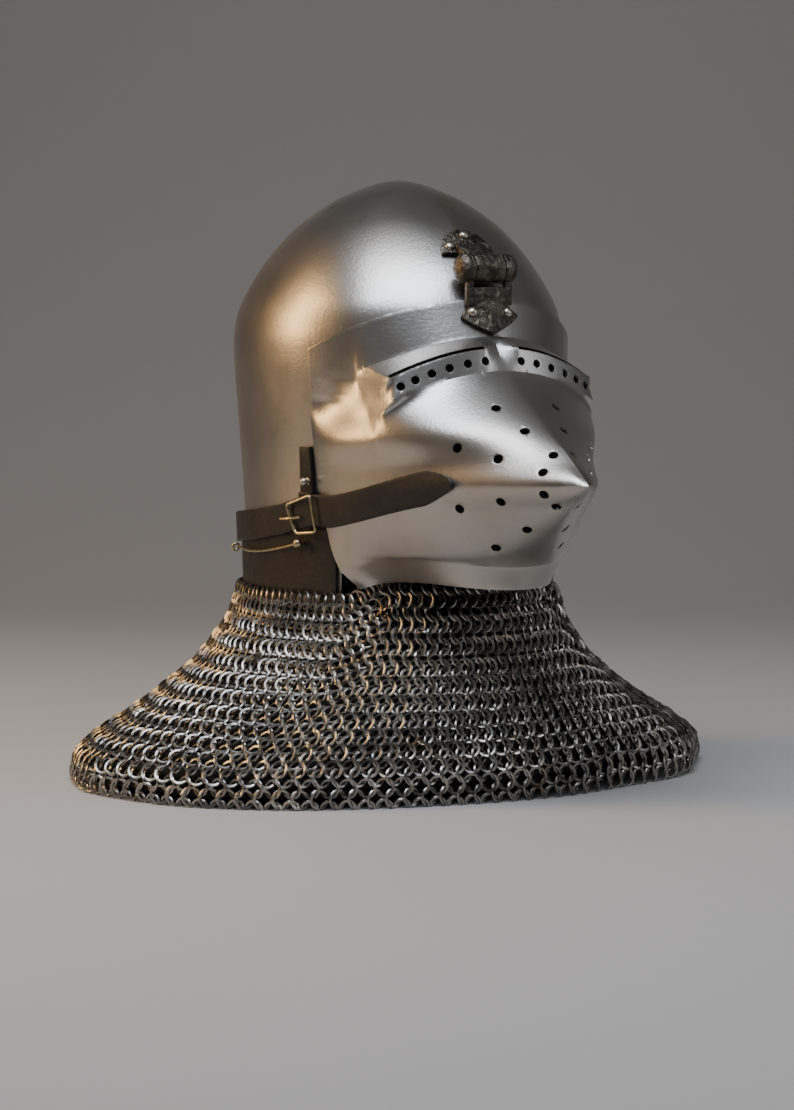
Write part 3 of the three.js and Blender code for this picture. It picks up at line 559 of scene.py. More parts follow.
def sight_cutter(side):
    bm = bmesh.new()
    bmesh.ops.create_grid(bm, x_segments=40, y_segments=1, size=0.5)
    for vert in bm.verts:
        short = SIGHT_CUT["short"]
        out = blend(NOTCH_HALF + short, SIGHT_HALF - short, vert.co.x + 0.5)
        height = BROWS[1][2] - SIGHT_DROP * out * out + SIGHT_CUT["high"] * vert.co.y
        vert.co = (-side * out, -SIGHT_CUT["start"], height)
    thicken(bm, (0, SIGHT_CUT["depth"], 0))
    return object_from(bm, "sight_cutter")


cutters = [sight_cutter(side) for side in (1, -1)]
for side in (1, -1):
    cutters += [drill(*ledge_spot(side * out), SIGHT_HOLE) for out in SIGHT_HOLES]
    cutters += [drill(*visor_front(side * out, height), HOLE) for out, height in BREATH_HOLES]
cutters += [drill(*visor_front(*spot), RIVET_HOLE) for spot in [*HINGE_RIVETS_LOWER, LEFT_RIVET]]
cut_out(visor, cutters)
soften(visor, 0.45, 3, 38)
settle(visor, "visor", steel, "polished_steel", "visor", crease=24)
remove(cutters)


# Hinge: hand-forged iron. A leaf on the brow carries the middle knuckle and a leaf on the visor the two
# outer ones, with domed ends; pale steel rivets hold both.
HINGE = {
    "forward": 122.5, "height": 216.5, "radius": 9.8, "middle": 20.8, "side": 4, "dome": 6.5,
    "pin": 3, "pin_reach": 3, "play": 0.3, "soft": 0.7,
}
LEAF_SEAT, LEAF_THICKNESS = 0.8, 2.8
UPPER_LEAF = {"top": 239.5, "foot": 225, "half": 17.6, "blunt": 0.03}
RIB_OUT = 13.6
BARS = {  # width, two ends as forward and height, thickness
    "neck": (HINGE["middle"], (118, 222), (101.5, 231.5), 4),
    "rib": (5, (126.5, 209), (126.6, 193.5), 3.4),
    "web": (24, (126.4, 205), (126.6, 193.5), 3),
}
pin_centre = Vector((0, -HINGE["forward"], HINGE["height"]))


# Iron black from the fire: a dull dark scale, deeply pitted, with paler specks where it is worn.
def forged_iron():
    material, tree, shader, place = new_material("forged_iron_black_scale", Metallic=1.0)
    scale = between(tree, spots(tree, place, 5, 6), 0.4, 0.65, 0, 1)
    worn = between(tree, spots(tree, place, 1.6, 4), 0.55, 0.7, 0, 0.7)
    colour = tint(tree, worn, tint(tree, scale, "#46413A", "#6B645A"), "#8F8474")
    pits = spots(tree, place, 1.8, 5)
    paint(tree, shader, colour, between(tree, pits, 0.3, 0.7, 0.55, 0.3))
    relief(tree, shader, between(tree, pits, 0.35, 0.6, 0, 1), 0.45)
    return material


iron = forged_iron()


def sheet_over(name, across, down, place, thickness):
    """A plate or strap laid on a surface: place(u, v) is its inner face, with u across and v down."""
    bm = bmesh.new()
    bmesh.ops.create_grid(bm, x_segments=across, y_segments=down, size=0.5)
    for vert in bm.verts:
        vert.co = place(vert.co.x + 0.5, 0.5 - vert.co.y)
    piece = object_from(bm, name)
    modify(piece, "SOLIDIFY", thickness=thickness, offset=1, use_even_offset=False)
    return piece


def lathed(name, outline, place, direction, steps=40):
    """A turned piece from an outline of radius and height, stood on a place along a direction."""
    bm = bmesh.new()
    spin_round(bm, outline, steps)
    bmesh.ops.transform(bm, matrix=stood_at(place, direction), verts=bm.verts)
    return object_from(bm, name)


def join(pieces, name):
    """Several pieces as one joined mesh."""
    bm = bmesh.new()
    for piece in pieces:
        apply_modifiers(piece)
        bm.from_mesh(piece.data)
    remove(pieces)
    return object_from(bm, name)


def upper_leaf_place(u, v):
    height = blend(UPPER_LEAF["top"], UPPER_LEAF["foot"], v)
    half = UPPER_LEAF["half"] * math.sqrt(max(UPPER_LEAF["blunt"], 1 - (1 - v) ** 2))
    angle = math.degrees(math.asin(blend(half, -half, u) / skull_half_width(height)))
    return skull_level(height, angle, LEAF_SEAT)


LOWER_LEAF = [  # share of the brow's height, half width
    (0.06, 13.6), (0.2, 13.6), (0.3, 14.6), (0.4, 18.8), (0.46, 19.4), (0.55, 17.2),
    (0.7, 12.6), (0.82, 7.6), (0.9, 3.8), (0.95, 1.2),
]


def lower_leaf_place(u, v):
    share = blend(LOWER_LEAF[0][0], LOWER_LEAF[-1][0], v)
    half = float(np.interp(share, *zip(*LOWER_LEAF)))
    out = blend(half, -half, u)
    angle = math.degrees(math.asin(abs(out) / TEMPLE_SPAN[0]))
    rim = rim_section("front", angle / RIM_ANGLES["front"][1]).z
    place, normal = visor_front(out, blend(rim, BROWS[0][2] - SIGHT_DROP * out * out, share))
    return place + normal * LEAF_SEAT


def bar(width, start, end, thickness, x):
    """A squared iron bar between two places, given as forward and height."""
    bm = bmesh.new()
    bmesh.ops.create_cube(bm, size=1)
    along = Vector((0, start[0] - end[0], end[1] - start[1]))
    bmesh.ops.scale(bm, vec=(width, thickness, along.length), verts=bm.verts)
    middle = Vector((x, -(start[0] + end[0]) / 2, (start[1] + end[1]) / 2))
    bmesh.ops.transform(bm, matrix=stood_at(middle, along), verts=bm.verts)
    piece = object_from(bm, "bar")
    soften(piece, 0.6)
    return piece


def barrel(low, high, dome=0):
    """The outline of a knuckle, bored for the pin: open at both ends, or with one end domed."""
    r, bore, soft = HINGE["radius"], HINGE["pin"] + HINGE["play"], HINGE["soft"]
    outline = [(bore, low), (r - soft, low), (r, low + soft)]
    if not dome:
        return outline + [(r, high - soft), (r - soft, high), (bore, high), (bore, low)]
    arcs = [(r * math.cos(a), high + dome * math.sin(a)) for a in np.linspace(0, math.pi / 2, 10)]
    blind = low + HINGE["pin_reach"]
    return outline + arcs[:-1] + [(0, arcs[-1][1]), (0, blind), (bore, blind), (bore, low)]


upper_plate = sheet_over("upper_plate", 24, 14, upper_leaf_place, LEAF_THICKNESS)
soften(upper_plate, 0.8, angle=50)
middle = lathed("middle", barrel(-HINGE["middle"] / 2, HINGE["middle"] / 2), pin_centre, (1, 0, 0))
upper = join([upper_plate, middle, bar(*BARS["neck"], 0)], "hinge_upper")
settle(upper, "helmet", iron, "forged_iron", "hinge_leaf_upper")

lower_plate = sheet_over("lower_plate", 24, 24, lower_leaf_place, LEAF_THICKNESS)
soften(lower_plate, 0.8, angle=50)
start = HINGE["middle"] / 2 + HINGE["play"]
knuckle = barrel(start, start + HINGE["side"], HINGE["dome"])
ends = [lathed("end", knuckle, pin_centre, (side, 0, 0)) for side in (-1, 1)]
bars = [*[bar(*BARS["rib"], x) for x in (-RIB_OUT, RIB_OUT)], bar(*BARS["web"], 0)]
lower = join([lower_plate, *ends, *bars], "hinge_lower")
settle(lower, "visor", iron, "forged_iron", "hinge_leaf_lower")
pin = drill(pin_centre, (1, 0, 0), HINGE["pin"], HINGE["middle"] + 2 * HINGE["pin_reach"])
settle(pin, "helmet", iron, "forged_iron", "hinge_pin")


# Steel nails with peened heads, rubbed bright: small warm highlights, a little uneven from the hammer.
def bright_rivet_steel():
    material, tree, shader, place = new_material("bright_rivet_steel", Metallic=1.0)
    colour = tint(tree, spots(tree, place, 2, 3), "#D9D2C2", "#A89B84")
    paint(tree, shader, colour, uneven(tree, place, 1.2, 3, 0.22, 0.42))
    relief(tree, shader, spots(tree, place, 1.5, 2), 0.1)
    return material


rivet_steel = bright_rivet_steel()
SHANK, SHANK_PAST, HEAD_ROUND, HEAD_GAP = 1.5, 0.6, (0.3, 0.2), 0.3


def rivet(name, place, normal, seat, radius=3.2, dome=2.3):
    """A round-headed rivet whose head sits above its place by the seat's height."""
    arcs = [(radius * math.cos(a), seat + dome * math.sin(a)) for a in np.linspace(0, math.pi / 2, 9)]
    inner, under = -PLATE - SHANK_PAST, seat - HEAD_ROUND[1]
    outline = [(0, inner), (SHANK, inner), (SHANK, under), (radius - HEAD_ROUND[0], under)]
    return lathed(name, [*outline, *arcs[:-1], (0, arcs[-1][1])], place, normal, 24)


leaf_top = LEAF_SEAT + LEAF_THICKNESS + HEAD_GAP
for i, (height, out) in enumerate(HINGE_RIVETS_UPPER, 1):
    piece = rivet(f"brow_rivet_{i}", *skull_spot(height, out), leaf_top)
    settle(piece, "helmet", rivet_steel, "rivet_steel", f"hinge_rivet_upper_{i}")
for i, spot in enumerate(HINGE_RIVETS_LOWER, 1):
    piece = rivet(f"visor_rivet_{i}", *visor_front(*spot), leaf_top)
    settle(piece, "visor", rivet_steel, "rivet_steel", f"hinge_rivet_lower_{i}")


# Band: a strip of oiled leather 2.5 mm thick round the foot of the skull, that carries the mail. It
# rises as a narrow tab beside each edge of the face, and its foot rises a little towards the face.
BAND = {"bottom": 5, "rise": 4, "top": 52, "end": 53, "level": 0.4, "thick": 2.5}
BAND_LOW_AT, BAND_HIGH_AT, BAND_STEP = 110, 60, 3
TAB = {"rear": 66.5, "front": 61.2, "top": 104, "edge": 0.4}
LEATHER_GRAIN = 2


# Vegetable-tanned hide, dyed and oiled: near black with a soft sheen and a pebbled grain, browner where
# it is rubbed.
def oiled_leather():
    material, tree, shader, place = new_material("oiled_leather_dark", IOR=1.5)
    wear = between(tree, spots(tree, place, 14, 5), 0.35, 0.7, 0, 1)
    rubbed = between(tree, spots(tree, place, 2.5, 4), 0.5, 0.8, 0, 0.5)
    colour = tint(tree, rubbed, tint(tree, wear, "#17130E", "#262018"), "#383023")
    paint(tree, shader, colour, uneven(tree, place, 4, 4, 0.42, 0.62))
    values = {"Scale": 1000 / LEATHER_GRAIN, "feature": "SMOOTH_F1"}
    grain = add_node(tree, "ShaderNodeTexVoronoi", values, {"Vector": place})
    relief(tree, shader, grain.outputs["Distance"], 0.15)
    return material


leather = oiled_leather()


def band_place(angle, v):
    """A place on the band's inner face, by the angle from the face round by the wearer's left."""
    round_ = min(angle, 360 - angle)
    top = TAB["top"] if TAB["front"] <= round_ <= TAB["rear"] else BAND["top"]
    bottom = BAND["bottom"] + BAND["rise"] * ease(-round_, -BAND_LOW_AT, -BAND_HIGH_AT)
    return skull_level(blend(top, bottom, v), -angle, BAND["level"])


tab_angles = np.linspace(TAB["front"], TAB["rear"], 6)
half_way = [*np.linspace(BAND["end"], TAB["front"] - 2, 4)]
half_way += [TAB["front"] - TAB["edge"], *tab_angles, TAB["rear"] + TAB["edge"]]
half_way += [*np.arange(TAB["rear"] + BAND_STEP, 179, BAND_STEP)]
band_angles = [*half_way, 180, *[360 - a for a in reversed(half_way)]]
spans = len(band_angles) - 1
band = sheet_over("band", spans, 12, lambda u, v: band_place(band_angles[round(u * spans)], v), BAND["thick"])
soften(band, 0.5, 2, 50)
settle(band, "helmet", leather, "oiled_leather", "leather_band", crease=40)


# Strap: one leather strap, 20 mm wide, from a rivet on the visor's left cheek round the nape to a wire
# buckle on the right, with its pointed end laid along the visor's cheek.
STRAP_WIDTH, STRAP_THICK, OVER_BAND, OVER_VISOR, CHEEK_GAP = 20, 2.8, 3.35, 5.8, 0.9
STRAP_LINE = [(61, 64), (74, 57), (92, 51.4), (121, 46.5), (180, 43)]  # angle, height
# Reach runs back along the strap, in millimetres. The visor's edge lies between over_visor and
# over_skull, the strap has settled to its level at settled, and its two cut ends come last.
REACH = {"over_visor": 10.5, "over_skull": 13, "settled": 20, "right_end": 31, "left_end": 19}
TIP_REACH, LEFT_TIP_REACH, POINT_LENGTH, POINT_BLUNT = -88.5, -28, 19, 0.004
SKULL_ANGLES = (57.2, 67.35)
EDGE_LIFT, PROBE_HEIGHT, SLANT_START = 0.6, 75, 300
BACK_STRAP = {"left": 62.2, "right": 67.65, "lifted": 64, "level": 78}
STRAP_TIP = {"out": 50, "height": 83.7}
CHEEK_END = {"out": 86, "height": 63.7}
SLANT = math.sqrt(0.5)


def cheek_height(out):
    along = min(1, max(0, (out - STRAP_TIP["out"]) / (CHEEK_END["out"] - STRAP_TIP["out"])))
    return blend(STRAP_TIP["height"], CHEEK_END["height"], along ** 1.5)


def cheek_place(side, reach, height, level):
    """A place over the visor's cheek, met at a slant from in front and from the side."""
    start = Vector((-side * (reach * SLANT + SLANT_START), reach * SLANT - SLANT_START, height))
    place, normal, *_ = visor_surface.ray_cast(start, Vector((side, 1, 0)))
    return place + normal * level


def strap_place(side, reach, across):
    """A place on the strap: over the cheek in front of the visor's edge, over the skull behind it."""
    if reach <= REACH["over_visor"]:
        middle = cheek_place(side, reach, PROBE_HEIGHT, 0)
        return cheek_place(side, reach, cheek_height(abs(middle.x)) + across, CHEEK_GAP)
    share = (reach - REACH["over_skull"]) / (REACH["right_end"] - REACH["over_skull"])
    angle = blend(*SKULL_ANGLES, share)
    height = float(np.interp(angle, *zip(*STRAP_LINE))) + across
    settled = ease(reach, REACH["over_skull"], REACH["settled"])
    return skull_level(height, side * angle, blend(OVER_VISOR + EDGE_LIFT, OVER_VISOR, settled))


def cheek_strap(name, side, reaches, tip=None):
    """A strap's end on a cheek, through the given reaches and pointed if it has a tip."""
    def place(u, v):
        reach = reaches[round(u * (len(reaches) - 1))]
        half = STRAP_WIDTH / 2
        if tip is not None:
            half *= math.sqrt(min(1, max(POINT_BLUNT, (reach - tip) / POINT_LENGTH)))
        return strap_place(side, reach, half * (1 - 2 * v))
    return sheet_over(name, len(reaches) - 1, 10, place, STRAP_THICK)


def reaches_to(end, behind, tip, ahead):
    """Reaches from a cut end behind the visor's edge to a tip ahead of it, with none at the edge."""
    return [*np.linspace(end, REACH["over_skull"], behind), *np.linspace(REACH["over_visor"], tip, ahead)]


def back_strap_place(u, v):
    angle = blend(BACK_STRAP["left"], 360 - BACK_STRAP["right"], u)
    round_ = min(angle, 360 - angle)
    lift = (OVER_VISOR - OVER_BAND) * (1 - ease(round_, BACK_STRAP["lifted"], BACK_STRAP["level"]))
    height = float(np.interp(round_, *zip(*STRAP_LINE))) + STRAP_WIDTH * (0.5 - v)
    return skull_level(height, -angle, OVER_BAND + lift)


strap_back = sheet_over("strap_round_the_nape", 120, 10, back_strap_place, STRAP_THICK)
right_reaches = reaches_to(REACH["right_end"], 8, TIP_REACH, 44)
left_reaches = reaches_to(REACH["left_end"], 4, LEFT_TIP_REACH, 16)[::-1]
strap_end = cheek_strap("strap_pointed_end", 1, right_reaches, TIP_REACH)
strap_left = cheek_strap("strap_riveted_end", -1, left_reaches)
for piece, body, node in ((strap_back, "helmet", "strap_rear"), (strap_end, "visor", "strap_front"),
                          (strap_left, "visor", "strap_left")):
    soften(piece, 0.7, 2, 50)
    settle(piece, body, leather, "oiled_leather", node, crease=40)
strap_top = CHEEK_GAP + STRAP_THICK + HEAD_GAP
left_rivet = rivet("cheek_rivet", *visor_front(*LEFT_RIVET), strap_top, radius=3.6, dome=1.9)
settle(left_rivet, "visor", rivet_steel, "rivet_steel", "strap_rivet_left")


# Buckle: pale brass wire bent to a frame, with its prong lying over the rear bar and a leather tab
# that holds it to the visor's edge.
WIRE, THIN_WIRE, BUCKLE_BEND = 0.95, 0.9, 2.5
# Corners of the frame and places of the prong, each by height, angle and level over the skull.
BUCKLE = [(67, 69.6, 10.5), (74.2, 59.3, 11.7), (50.2, 57.5, 11.7), (48.8, 65.9, 10.5)]
PRONG = [(57.9, 71.2, 12.6), (58.5, 67.6, 12.7), (59.4, 64, 10.2)]
CHAPE = {"top": 75, "foot": 51, "rear": 66.6, "front": 61.4, "level": 3.5, "thick": 1.9}


# Drawn brass wire, gone pale and dull in spots: a soft straw-coloured sheen.
def pale_brass():
    material, tree, shader, place = new_material("pale_brass_wire", Metallic=1.0)
    colour = tint(tree, spots(tree, place, 2, 3), "#D8C8A0", "#A08F6C")
    paint(tree, shader, colour, uneven(tree, place, 1, 3, 0.24, 0.42))
    return material


brass = pale_brass()


def wire(name, points, radius, closed=False, smooth=True):
    """A round wire through a few places."""
    curve = bpy.data.curves.new(name, "CURVE")
    curve.dimensions = "3D"
    curve.bevel_depth = radius
    curve.bevel_resolution = 3
    curve.use_fill_caps = True
    curve.resolution_u = 8
    spline = curve.splines.new("BEZIER" if smooth else "POLY")
    knots = spline.bezier_points if smooth else spline.points
    knots.add(len(points) - 1)
    for knot, place in zip(knots, points):
        if smooth:
            knot.co = place
            knot.handle_left_type = knot.handle_right_type = "AUTO"
        else:
            knot.co = (*place, 1)
    spline.use_cyclic_u = closed
    shape = add_object(name, curve)
    evaluated = shape.evaluated_get(bpy.context.evaluated_depsgraph_get())
    mesh = bpy.data.meshes.new_from_object(evaluated)
    bpy.data.objects.remove(shape)
    bm = bmesh.new()
    bm.from_mesh(mesh)
    bmesh.ops.remove_doubles(bm, verts=bm.verts, dist=0.001)
    return object_from(bm, name)


def rounded_loop(corners, radius, steps=5):
    """A closed path through corners with rounded bends."""
    path = []
    for i, corner in enumerate(corners):
        before, after = corners[i - 1] - corner, corners[(i + 1) % len(corners)] - corner
        a, b = corner + before.normalized() * radius, corner + after.normalized() * radius
        for t in np.linspace(0, 1, steps):
            path.append(a * (1 - t) ** 2 + corner * 2 * t * (1 - t) + b * t * t)
    return path


def chape_place(u, v):
    height = blend(CHAPE["top"], CHAPE["foot"], v)
    return skull_level(height, blend(CHAPE["rear"], CHAPE["front"], u), CHAPE["level"])


bow_path = rounded_loop([skull_level(*spot) for spot in BUCKLE], BUCKLE_BEND)
bow = wire("buckle_bow", bow_path, WIRE, closed=True, smooth=False)
settle(bow, "visor", brass, "buckle_wire", "buckle_frame")
tongue = wire("buckle_tongue", [skull_level(*spot) for spot in PRONG], THIN_WIRE)
settle(tongue, "visor", brass, "buckle_wire", "buckle_prong")
chape = sheet_over("buckle_tab", 8, 12, chape_place, CHAPE["thick"])
soften(chape, 0.4)
settle(chape, "visor", leather, "oiled_leather", "buckle_chape")


# Studs and retaining wires: ball-headed studs stand through the band and its tabs, and a wire from
# each lower ball runs back along the band to a small eye.
WIRE_ROUTE = [  # angle, height, level
    (66.2, 42, 8), (74, 38.6, 6.6), (84, 35.4, 5.6), (97, 33.6, 5.6), (108, 34.6, 6.8),
]
BALL, SMALL_BALL, EYE = 3.2, 2.8, 2.1
LOWER_STUD, UPPER_STUD = (42, 66.2), (82, 63)  # height, angle
STUD_FOOT = [(0, 0), (2.2, 0), (2.2, 0.9), (1.1, 1.2)]
STUD_NECK, NECK_ANGLE = 1.6, -1.15
POST_RADIUS, POST_HEIGHT = 1.6, 1.1


def ball(place, radius):
    bm = bmesh.new()
    bmesh.ops.create_uvsphere(bm, u_segments=20, v_segments=14, radius=radius)
    bmesh.ops.translate(bm, vec=place, verts=bm.verts)
    return object_from(bm, "ball")


def upper_stud(name, side):
    height, angle = UPPER_STUD
    base, normal = skull_level(height, side * angle, OVER_BAND), skull_normal(height, side * angle)
    centre, turns = SMALL_BALL + STUD_NECK, np.linspace(NECK_ANGLE, math.pi / 2, 12)
    arcs = [(SMALL_BALL * math.cos(a), centre + SMALL_BALL * math.sin(a)) for a in turns]
    return lathed(name, [*STUD_FOOT, *arcs[:-1], (0, arcs[-1][1])], base, normal, 24)


def lower_stud(side):
    height, angle = LOWER_STUD
    place = skull_level(height, side * angle, OVER_BAND + POST_HEIGHT / 2)
    return drill(place, skull_normal(height, side * angle), POST_RADIUS, POST_HEIGHT, 20)


def retaining_wire(name, side):
    """A wire with a ball at its front end and an eye that stands out at its rear end."""
    route = [skull_level(height, side * angle, level) for angle, height, level in WIRE_ROUTE]
    along = (route[-1] - route[-2]).normalized()
    outward = skull_normal(WIRE_ROUTE[-1][1], side * WIRE_ROUTE[-1][0])
    up = along.cross(outward).normalized()
    centre, turns = route[-1] + outward * EYE, np.linspace(0, math.tau, 25)[:-1]
    eye = [centre + (outward * math.cos(a) + up * math.sin(a)) * EYE for a in turns]
    loop = wire("eye", eye, WIRE, closed=True, smooth=False)
    return join([wire("run", route, WIRE), ball(route[0], BALL), loop], name)


for word, side in (("right", 1), ("left", -1)):
    stud = upper_stud(f"stud_{word}", side)
    settle(stud, "helmet", rivet_steel, "rivet_steel", f"stud_upper_{word}")
    settle(lower_stud(side), "helmet", rivet_steel, "rivet_steel", f"stud_lower_{word}")
    held = retaining_wire(f"wire_{word}", side)
    settle(held, "helmet", brass, "buckle_wire", f"retaining_wire_{word}", crease=60)


# Aventail: a skirt of mail that hangs from the band and spreads on the shoulders. Real mail links each
# flat steel ring through four others; here the rings lie in rows that lean by turns and lap so, and
# every other row is closed with rivets.
SKIRT = [  # height, spread to the side
    (4.7, 5), (-13, 11.6), (-24, 20.4), (-38, 31.5), (-47.5, 42.8), (-58, 57), (-68, 71.6),
    (-84, 99.5), (-92, 112), (-100, 121), (-110, 124.5), (-118, 124),
]
SHARE_FRONT, SHARE_BACK = 0.26, 0.38
FRONT_RISE, FRONT_IN, RISE_FROM, RISE_TO = 19, 14, 48, 34
FOLDS = [  # angle from the face, depth, width, lift of the hem
    (-8, 5, 7, 2), (-26, -6, 8, 6), (-44, 6, 8, 8), (-62, -5, 9, 6), (35, 4, 10, 0),
    (75, -4, 12, 1), (120, 5, 12, 2), (165, -5, 12, 2), (-110, 5, 12, 2), (-145, -4, 10, 1),
]
RING = {"outer": 6.6, "inner": 4.8, "thick": 1.25}
RING_ROWS, RING_COLUMNS, RING_STEPS = 25, 104, 14
RING_SECTION = [(-1, -0.6), (0.4, -1), (1, -0.2), (0.4, 1), (-1, 0.6)]  # shares of half width, half thick
# A riveted ring's lap: where it starts, how much wider and thicker it gets, and its rivet's head.
LAP = {"from": 0.7, "wider": 0.35, "thicker": 0.3, "head": 0.9, "flat": 0.8, "rise": 0.6}
LEAN_TOP, LEAN_HEM, LAST_ROW_LEAN = 30, 23, 0.35
JITTER = {"lean": 0.05, "roll": 0.06, "shift": 0.15}
SPREAD_WEIGHT = 0.75
# The sheet of painted shade behind the rings: how far behind, how thick, how far below the top and above the
# hem, and its loops.
SHADE_SHEET = {"behind": 4.2, "thick": 0.6, "below_top": 1, "above_hem": 7, "loops_per_metre": 140}
round_angles = np.arange(0, 360.5, 1.5)
skirt_line = curve_through(SKIRT, 400)[::-1]


def skirt_point(height, angle):
    """A place on the mail's middle surface, with the angle from the face to the wearer's right."""
    round_ = abs((angle + 180) % 360 - 180)
    rise = 1 - ease(round_, RISE_TO, RISE_FROM)
    top, hem = SKIRT[0][0], SKIRT[-1][0]
    down = max(0, (top - height) / (top - hem))
    spread = float(np.interp(height, skirt_line[:, 0], skirt_line[:, 1])) - FRONT_IN * rise * (1 - down) ** 3
    lift = FRONT_RISE * rise * (1 - down) ** 2
    for fold_angle, depth, width, hem_lift in FOLDS:
        away = (angle - fold_angle + 540) % 360 - 180
        weight = math.exp(-(away / width) ** 2)
        spread += depth * weight * down ** 1.5
        lift += hem_lift * weight * down ** 3
    a = math.radians(angle)
    ratio, share = (FRONT_RATIO, SHARE_FRONT) if math.cos(a) > 0 else (BACK_RATIO, SHARE_BACK)
    width, least = skull_half_width(0), SKIRT[0][1]
    length = width * ratio + min(spread, least) + max(0, spread - least) * share
    return Vector((-(width + spread) * math.sin(a), -length * math.cos(a), height + lift))


# Flattened steel wire, oiled: greys that change every few rings, patches browned to bronze, and faces
# left a little rough by the hammer.
def oiled_mail_steel():
    material, tree, shader, place = new_material("oiled_mail_steel", Metallic=1.0)
    by_ring = between(tree, spots(tree, place, 16, 2), 0.35, 0.65, 0, 1)
    grey = tint(tree, by_ring, "#8E8A85", "#B5AFA5")
    bronze = between(tree, spots(tree, place, 9, 2), 0.62, 0.72, 0, 0.55)
    colour = tint(tree, bronze, grey, "#8C6F47")
    paint(tree, shader, colour, uneven(tree, place, 5, 3, 0.24, 0.42))
    relief(tree, shader, spots(tree, place, 1.2, 3), 0.08)
    return material


mail_steel = oiled_mail_steel()


def ring_mesh(riveted):
    """One flat ring round the origin, facing +Z, with a swelled lap and a rivet if it has one."""
    bm = bmesh.new()
    middle, half = (RING["outer"] + RING["inner"]) / 2, (RING["outer"] - RING["inner"]) / 2
    outline = [(middle + half * x, RING["thick"] / 2 * z) for x, z in RING_SECTION]
    spin_round(bm, outline, RING_STEPS, closed=True)
    if riveted:
        for vert in bm.verts:
            lap = ease(vert.co.x / middle, LAP["from"], 1)
            radial = math.hypot(vert.co.x, vert.co.y)
            vert.co.x *= 1 + LAP["wider"] * lap * (radial - middle) / middle
            vert.co.z *= 1 + LAP["thicker"] * lap
        head = bmesh.ops.create_icosphere(bm, subdivisions=1, radius=LAP["head"])
        bmesh.ops.scale(bm, vec=(1, 1, LAP["flat"]), verts=head["verts"])
        bmesh.ops.translate(bm, vec=(middle, 0, RING["thick"] * LAP["rise"]), verts=head["verts"])
    mesh = bpy.data.meshes.new("ring")
    bm.to_mesh(mesh)
    bm.free()
    points = np.array([v.co for v in mesh.vertices])
    faces = [list(p.vertices) for p in mesh.polygons]
    bpy.data.meshes.remove(mesh)
    return points, faces


def row_places(row):
    """A row's height and its rings' angles, evenly apart round the skirt."""
    height = float(np.interp(row / (RING_ROWS - 1), skirt_steps, skirt_line[::-1, 0]))
    dense = [skirt_point(height, angle) for angle in round_angles]
    lengths = np.cumsum([0, *[(b - a).length for a, b in zip(dense, dense[1:])]])
    shares = (np.arange(RING_COLUMNS) + (row % 2) / 2) / RING_COLUMNS
    return height, np.interp(shares * lengths[-1], lengths, round_angles)


def surface_axes(height, angle):
    """Unit directions along a row and out of the skirt."""
    along = (skirt_point(height, angle - 1) - skirt_point(height, angle + 1)).normalized()
    slope = (skirt_point(height - 2, angle) - skirt_point(height + 2, angle)).normalized()
    return along, slope.cross(along).normalized()


def placed_ring(shape, height, angle, lean):
    """One ring's points on the skirt, leaning and a little out of true."""
    along, out = surface_axes(height, angle)
    basis = Matrix((along, out.cross(along), out)).transposed()
    leaned = Matrix.Rotation(lean + jitter.gauss(0, JITTER["lean"]), 3, "Y")
    tilt = leaned @ Matrix.Rotation(jitter.gauss(0, JITTER["roll"]), 3, "X")
    turn = Matrix.Rotation(jitter.uniform(0, math.tau), 3, "Z")
    shift = np.array([jitter.gauss(0, JITTER["shift"]) for _ in range(3)])
    return shape @ np.array((basis @ tilt @ turn).transposed()) + np.array(skirt_point(height, angle)) + shift


drop = np.diff(skirt_line[::-1], axis=0) * (1, SPREAD_WEIGHT)
skirt_steps = np.cumsum([0, *np.linalg.norm(drop, axis=1)])
skirt_steps /= skirt_steps[-1]
jitter = random.Random(5)
rings = {True: ring_mesh(True), False: ring_mesh(False)}
BANDS_OF_ROWS = [(0, 9), (9, 17), (17, RING_ROWS)]
for number, (first, last) in enumerate(BANDS_OF_ROWS, 1):
    points, faces = [], []
    for row in range(first, last):
        height, angles = row_places(row)
        lean = math.radians(blend(LEAN_TOP, LEAN_HEM, row / RING_ROWS)) * (1 if row % 2 else -1)
        lean *= LAST_ROW_LEAN if row == RING_ROWS - 1 else 1
        shape, shape_faces = rings[row % 2 == 1]
        for angle in angles:
            base = sum(len(p) for p in points)
            points.append(placed_ring(shape, height, angle, lean))
            faces += [[base + i for i in face] for face in shape_faces]
    mesh = bpy.data.meshes.new(f"mail_rows_{number}")
    mesh.from_pydata(np.concatenate(points).tolist(), [], faces)
    mail = add_object(f"mail_rows_{number}", mesh)
    settle(mail, "helmet", mail_steel, "mail_steel", "aventail", crease=50)


# Painted shade behind the mail: behind the front face of the rings lie the backs of their links, oiled steel
# in deep shadow. They are drawn as one thin sheet painted near black as shade, with loops 7 mm apart, so that
# the gaps are as dark as they are between real rings.
def mail_in_shadow():
    material, tree, shader, place = new_material("mail_in_shadow", Metallic=0.6)
    # Painted shade: near-black colours that stand for the shadow in the gaps between and behind the rings.
    colour = tint(tree, spots(tree, place, 6, 3), "#0E0D0C", "#262320")
    paint(tree, shader, colour, uneven(tree, place, 3, 3, 0.6, 0.85))
    values = {"Scale": SHADE_SHEET["loops_per_metre"]}
    loops = add_node(tree, "ShaderNodeTexVoronoi", values, {"Vector": place})
    relief(tree, shader, loops.outputs["Distance"], 1.5)
    return material


def shade_sheet_place(u, v):
    """A place on the sheet of painted shade, with u round the skirt by the wearer's left."""
    height = blend(SKIRT[0][0] - SHADE_SHEET["below_top"], SKIRT[-1][0] + SHADE_SHEET["above_hem"], v)
    angle = (1 - u) * 360
    along, out = surface_axes(height, angle)
    return skirt_point(height, angle) - out * SHADE_SHEET["behind"]


